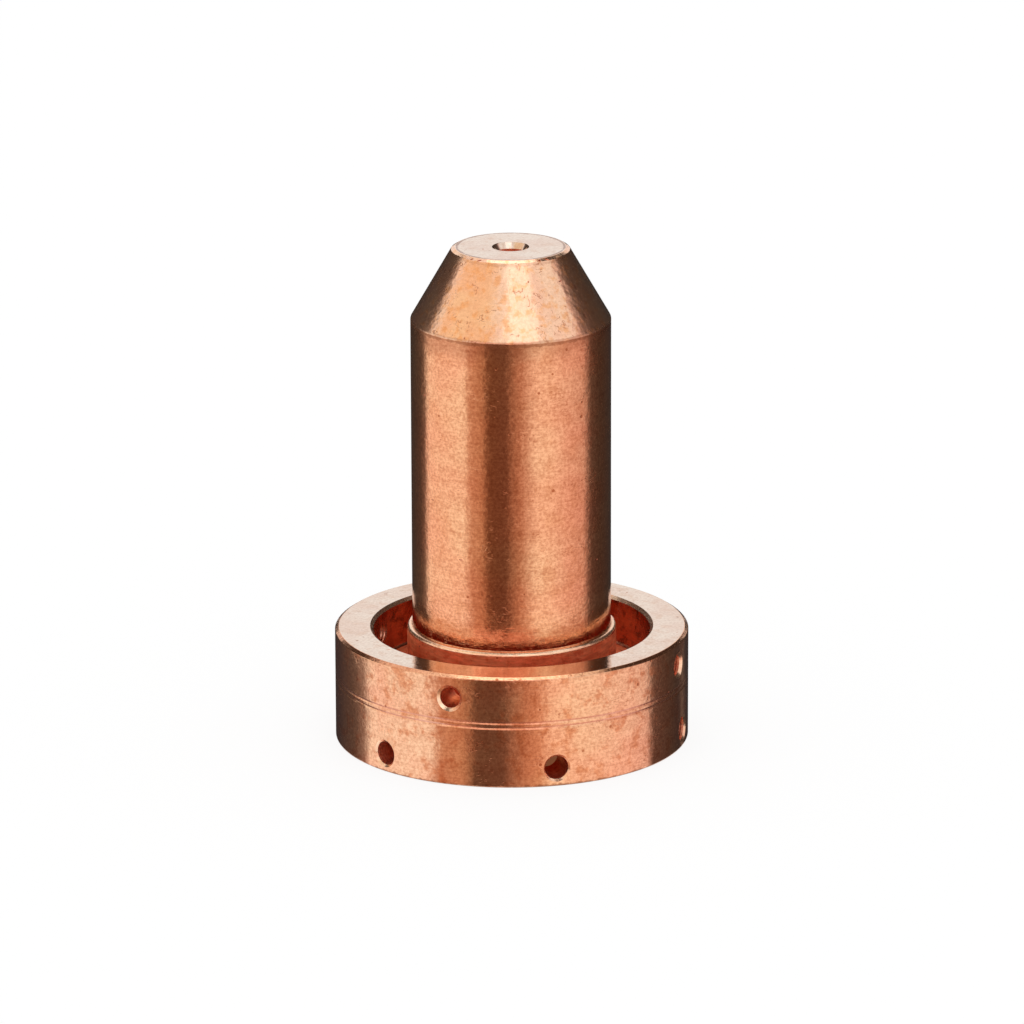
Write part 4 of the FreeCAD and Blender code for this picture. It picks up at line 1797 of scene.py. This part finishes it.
@dataclass(frozen=True)
class Studio:
    """The floor, the white surround, the lamps and the glowing cards round the nozzle, which paint
    the reflections in the copper.

    The edges are azimuths of the wall that mirrors a card, in degrees.
    """

    sizes: NozzleSizes
    floor_half_side: float = 1.5
    floor_colour: Colour = (0.92, 0.92, 0.92)
    floor_white: float = 0.86
    # Painted shadow under the nozzle's foot: a dim copper brown glow that also paints the copper's
    # bounce light, and how far inside the rim it fades in
    painted_shadow_under_foot: Colour = (0.20, 0.07, 0.03)
    painted_shadow_under_foot_edge: float = 0.8 * MM
    camera_fall: float = math.radians(16.7)
    barrel_card_lift: float = 0.02 * MM
    flange_card_lift: float = 0.04 * MM
    flange_card_gap: float = 0.05 * MM
    wall_edge: float = 90.0
    surround_radius: float = 0.7
    surround_edge: float = 83.0
    nose_card_share: float = 0.95
    ceiling_height: float = 0.5
    ceiling_edge: float = 40.0
    # The ceiling card glows this dark: painted shade in what the copper's edges mirror
    ceiling_painted_shade: Colour = (0.05, 0.03, 0.02)

    def seen(self, sheet: NodeSheet) -> bpy.types.NodeSocket:
        """Tell the rays that see a surface from those that only light it.

        Args:
            sheet: the material's sheet.

        Returns:
            1 for rays from the camera and from shiny or clear surfaces, and else 0.
        """
        path = sheet.add("ShaderNodeLightPath")
        direct = sheet.math("MAXIMUM", path.outputs["Is Camera Ray"], path.outputs["Is Glossy Ray"])
        return sheet.math("MAXIMUM", direct, path.outputs["Is Transmission Ray"])

    def build_world(self) -> None:
        """Make the white surround, which is the plain fill light too."""
        world = bpy.data.worlds.new("studio")
        world.use_nodes = True
        world.node_tree.nodes.clear()
        sheet = NodeSheet(world.node_tree)
        glow = sheet.add("ShaderNodeBackground", {"Color": rgba(WHITE), "Strength": 1.0})
        sheet.add("ShaderNodeOutputWorld", {"Surface": glow.outputs[0]})
        bpy.context.scene.world = world

    def build_floor(self) -> bpy.types.Object:
        """Make the pale floor, which keeps the nozzle's shadow.

        What sees the floor gets mostly its own white, and the rest from the light on it. Inside the
        flange's foot it glows a dim copper brown, a painted shadow with painted copper bounce
        light, for what the gas holes show of it.

        Returns:
            The floor.
        """
        half = self.floor_half_side
        corners = [(-half, -half, 0), (half, -half, 0), (half, half, 0), (-half, half, 0)]
        floor = new_object("floor", corners, ((0, 1, 2, 3),))
        material, sheet = new_material("pale_floor")
        matt = sheet.add("ShaderNodeBsdfDiffuse", {"Color": rgba(self.floor_colour)})
        across, deep, _ = sheet.split(sheet.add("ShaderNodeTexCoord").outputs["Object"])
        rim = self.sizes.flange_radius
        # Painted shadow: inside the foot the floor's glow fades from white to the dim copper brown
        clear = sheet.step(sheet.length(across, deep), rim - self.painted_shadow_under_foot_edge, rim)
        colour = sheet.tint(clear, rgba(self.painted_shadow_under_foot), rgba(WHITE))
        glow = sheet.add("ShaderNodeEmission", {"Color": colour, "Strength": 1.0})
        share = sheet.math("MULTIPLY", self.seen(sheet), self.floor_white)
        mixed = sheet.add("ShaderNodeMixShader", {0: share, 1: matt.outputs[0], 2: glow.outputs[0]})
        sheet.add("ShaderNodeOutputMaterial", {"Surface": mixed.outputs[0]})
        floor.data.materials.append(material)
        return floor

    def barrel_tones(self) -> PaintedReflection:
        """Say what the barrel mirrors, from its left edge to its right one.

        Returns:
            The painted reflection of the barrel's card.
        """
        return PaintedReflection((
            Tone(-90.0, (0.04, 0.03, 0.03)),
            Tone(-76.0, (0.06, 0.05, 0.04)),
            Tone(-64.0, (0.10, 0.08, 0.07)),
            Tone(-59.0, (0.22, 0.17, 0.15)),
            Tone(-56.0, (1.12, 1.05, 1.0)),
            Tone(-28.0, (1.14, 1.12, 1.08)),
            Tone(-25.0, (0.74, 0.50, 0.40)),
            Tone(-17.0, (0.62, 0.39, 0.28)),
            Tone(-14.0, (0.20, 0.10, 0.06)),
            Tone(-3.0, (0.19, 0.10, 0.07)),
            Tone(0.0, (0.38, 0.23, 0.17)),
            Tone(5.0, (0.60, 0.38, 0.29)),
            Tone(15.0, (1.14, 1.12, 1.08)),
            Tone(21.0, (1.14, 1.12, 1.08)),
            *RIGHT_TONES,
        ))

    def surround_tones(self) -> PaintedReflection:
        """Say what the nose's edges and the barrel's root mirror.

        Returns:
            The painted reflection of the surround's card.
        """
        white = (1.12, 1.10, 1.06)
        warm = (1.08, 0.74, 0.66)
        pale = (1.26, 0.98, 0.93)
        return PaintedReflection((
            Tone(-90.0, (0.04, 0.03, 0.03)),
            Tone(-60.0, (0.10, 0.08, 0.07)),
            Tone(-56.0, (0.20, 0.15, 0.13)),
            Tone(-52.0, white),
            Tone(-25.0, white),
            Tone(-20.0, pale),
            Tone(-8.0, warm),
            Tone(1.0, warm),
            Tone(9.0, pale),
            Tone(15.0, white),
            Tone(21.0, white),
            *RIGHT_TONES,
        ))

    def nose_tones(self) -> PaintedReflection:
        """Say what the left part of the nose mirrors.

        Returns:
            The painted reflection of the nose's card.
        """
        return PaintedReflection((
            Tone(-50.0, (1.02, 0.86, 0.66)),
            Tone(-20.0, (1.0, 0.84, 0.62)),
            Tone(-8.0, (1.02, 1.0, 0.98)),
        ))

    def flange_tones(self) -> PaintedReflection:
        """Say what the flange's wall mirrors.

        Returns:
            The painted reflection of the flange's card.
        """
        return PaintedReflection((
            Tone(-90.0, (0.04, 0.03, 0.03)),
            Tone(-78.0, (0.05, 0.04, 0.04)),
            Tone(-62.0, (0.13, 0.10, 0.09)),
            Tone(-56.0, (0.34, 0.26, 0.24)),
            Tone(-53.0, (1.14, 1.15, 1.16)),
            Tone(-27.0, (1.14, 1.15, 1.16)),
            Tone(-24.0, (0.70, 0.43, 0.31)),
            Tone(-17.0, (0.68, 0.42, 0.29)),
            Tone(-14.5, (0.52, 0.32, 0.22)),
            Tone(-12.0, (0.17, 0.10, 0.07)),
            Tone(-3.0, (0.18, 0.11, 0.08)),
            Tone(0.0, (0.42, 0.27, 0.20)),
            Tone(5.0, (0.66, 0.40, 0.28)),
            Tone(9.0, (0.80, 0.52, 0.37)),
            Tone(13.0, (1.16, 1.06, 0.94)),
            Tone(24.0, (1.13, 1.04, 0.96)),
            Tone(40.0, (1.08, 0.94, 0.92)),
            Tone(49.0, (0.94, 0.80, 0.80)),
            Tone(52.0, (0.14, 0.10, 0.09)),
            Tone(62.0, (0.09, 0.07, 0.06)),
            Tone(71.0, (0.05, 0.04, 0.04)),
            Tone(74.0, (0.20, 0.16, 0.13)),
            Tone(77.0, (0.05, 0.04, 0.04)),
            Tone(90.0, (0.03, 0.03, 0.03)),
        ))

    def build_cards(self) -> None:
        """Lay a card for each round wall, stand two round the set and hang one over it. Their glow
        paints the reflections in the copper.
        """
        s = self.sizes
        flange_shade = s.flange_top / math.tan(self.camera_fall)
        barrel = FloorCard(
            name="barrel_card",
            tones=self.barrel_tones(),
            wall_radius=s.barrel_radius,
            nearest=flange_shade,
            farthest=self.surround_radius,
            lift=self.barrel_card_lift,
        )
        barrel.build(-self.wall_edge, self.wall_edge)
        flange = FloorCard(
            name="flange_card",
            tones=self.flange_tones(),
            wall_radius=s.flange_radius,
            nearest=self.flange_card_gap,
            farthest=flange_shade,
            lift=self.flange_card_lift,
        )
        flange.build(-self.wall_edge, self.wall_edge)
        left_tops = ((-166.0, 10.0), (-154.0, 12.0), (-148.0, 42.0), (-114.0, 44.0), (-108.0, 32.0))
        front_tops = ((-98.0, 27.0), (85.0, 27.0))
        right_tops = ((95.0, 36.0), (114.0, 60.0), (150.0, 60.0), (156.0, 12.0), (166.0, 10.0))
        surround = StandingCard(
            name="surround_card",
            tones=self.surround_tones(),
            distance=self.surround_radius,
            tops=left_tops + front_tops + right_tops,
        )
        surround.build(-self.surround_edge, self.surround_edge)
        nose = StandingCard(
            name="nose_card",
            tones=self.nose_tones(),
            distance=self.nose_card_share * self.surround_radius,
            feet=((-100.0, 16.0), (-66.0, 24.0), (-16.0, 29.0)),
            tops=((-100.0, 50.0), (-16.0, 58.0)),
        )
        nose.build(-50.0, -8.0)
        edge = self.ceiling_edge
        ceiling = CeilingCard(
            name="ceiling_card",
            tones=PaintedReflection((Tone(-edge, self.ceiling_painted_shade), Tone(edge, self.ceiling_painted_shade))),
            height=self.ceiling_height,
            nearest_rise=80.0,
            farthest_rise=61.0,
        )
        ceiling.build(-edge, edge)

    def lamps(self) -> tuple[SoftLamp, ...]:
        """Set out the soft lamps.

        Returns:
            One in front of the nozzle and one over it.
        """
        return (
            SoftLamp("front_softbox", (0.14, -0.49, 0.50), 0.42, 0.46),
            SoftLamp("top_softbox", (0.0, 0.11, 0.55), 0.30, 1.0),
        )

    def build(self) -> None:
        """Build the studio."""
        aim = Vector((0.0, 0.0, self.sizes.height / 2))
        self.build_world()
        self.build_floor()
        self.build_cards()
        for lamp in self.lamps():
            lamp.build(aim)


def main() -> None:
    """Build the nozzle and its studio, and report each piece."""
    logging.basicConfig(level=logging.INFO, format="%(message)s")
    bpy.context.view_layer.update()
    scene = bpy.context.scene
    scene.view_settings.view_transform = "Standard"

    PhotoCamera().build()
    sizes = NozzleSizes.from_frame()
    groups = FinishGroups()
    finishes = {cut: finish.material(groups) for cut, finish in copper_finishes(sizes).items()}
    piece = Nozzle(sizes).build(TurnedForm(finishes))
    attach(piece, BODY)
    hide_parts(NODE)
    mesh = piece.data
    log.info("%s: %d faces, %d finishes", piece.name, len(mesh.polygons), len(mesh.materials))

    Studio(sizes).build()
    log.info("studio: floor, %d lamps", len(bpy.data.lights))


if __name__ == "__main__":
    main()
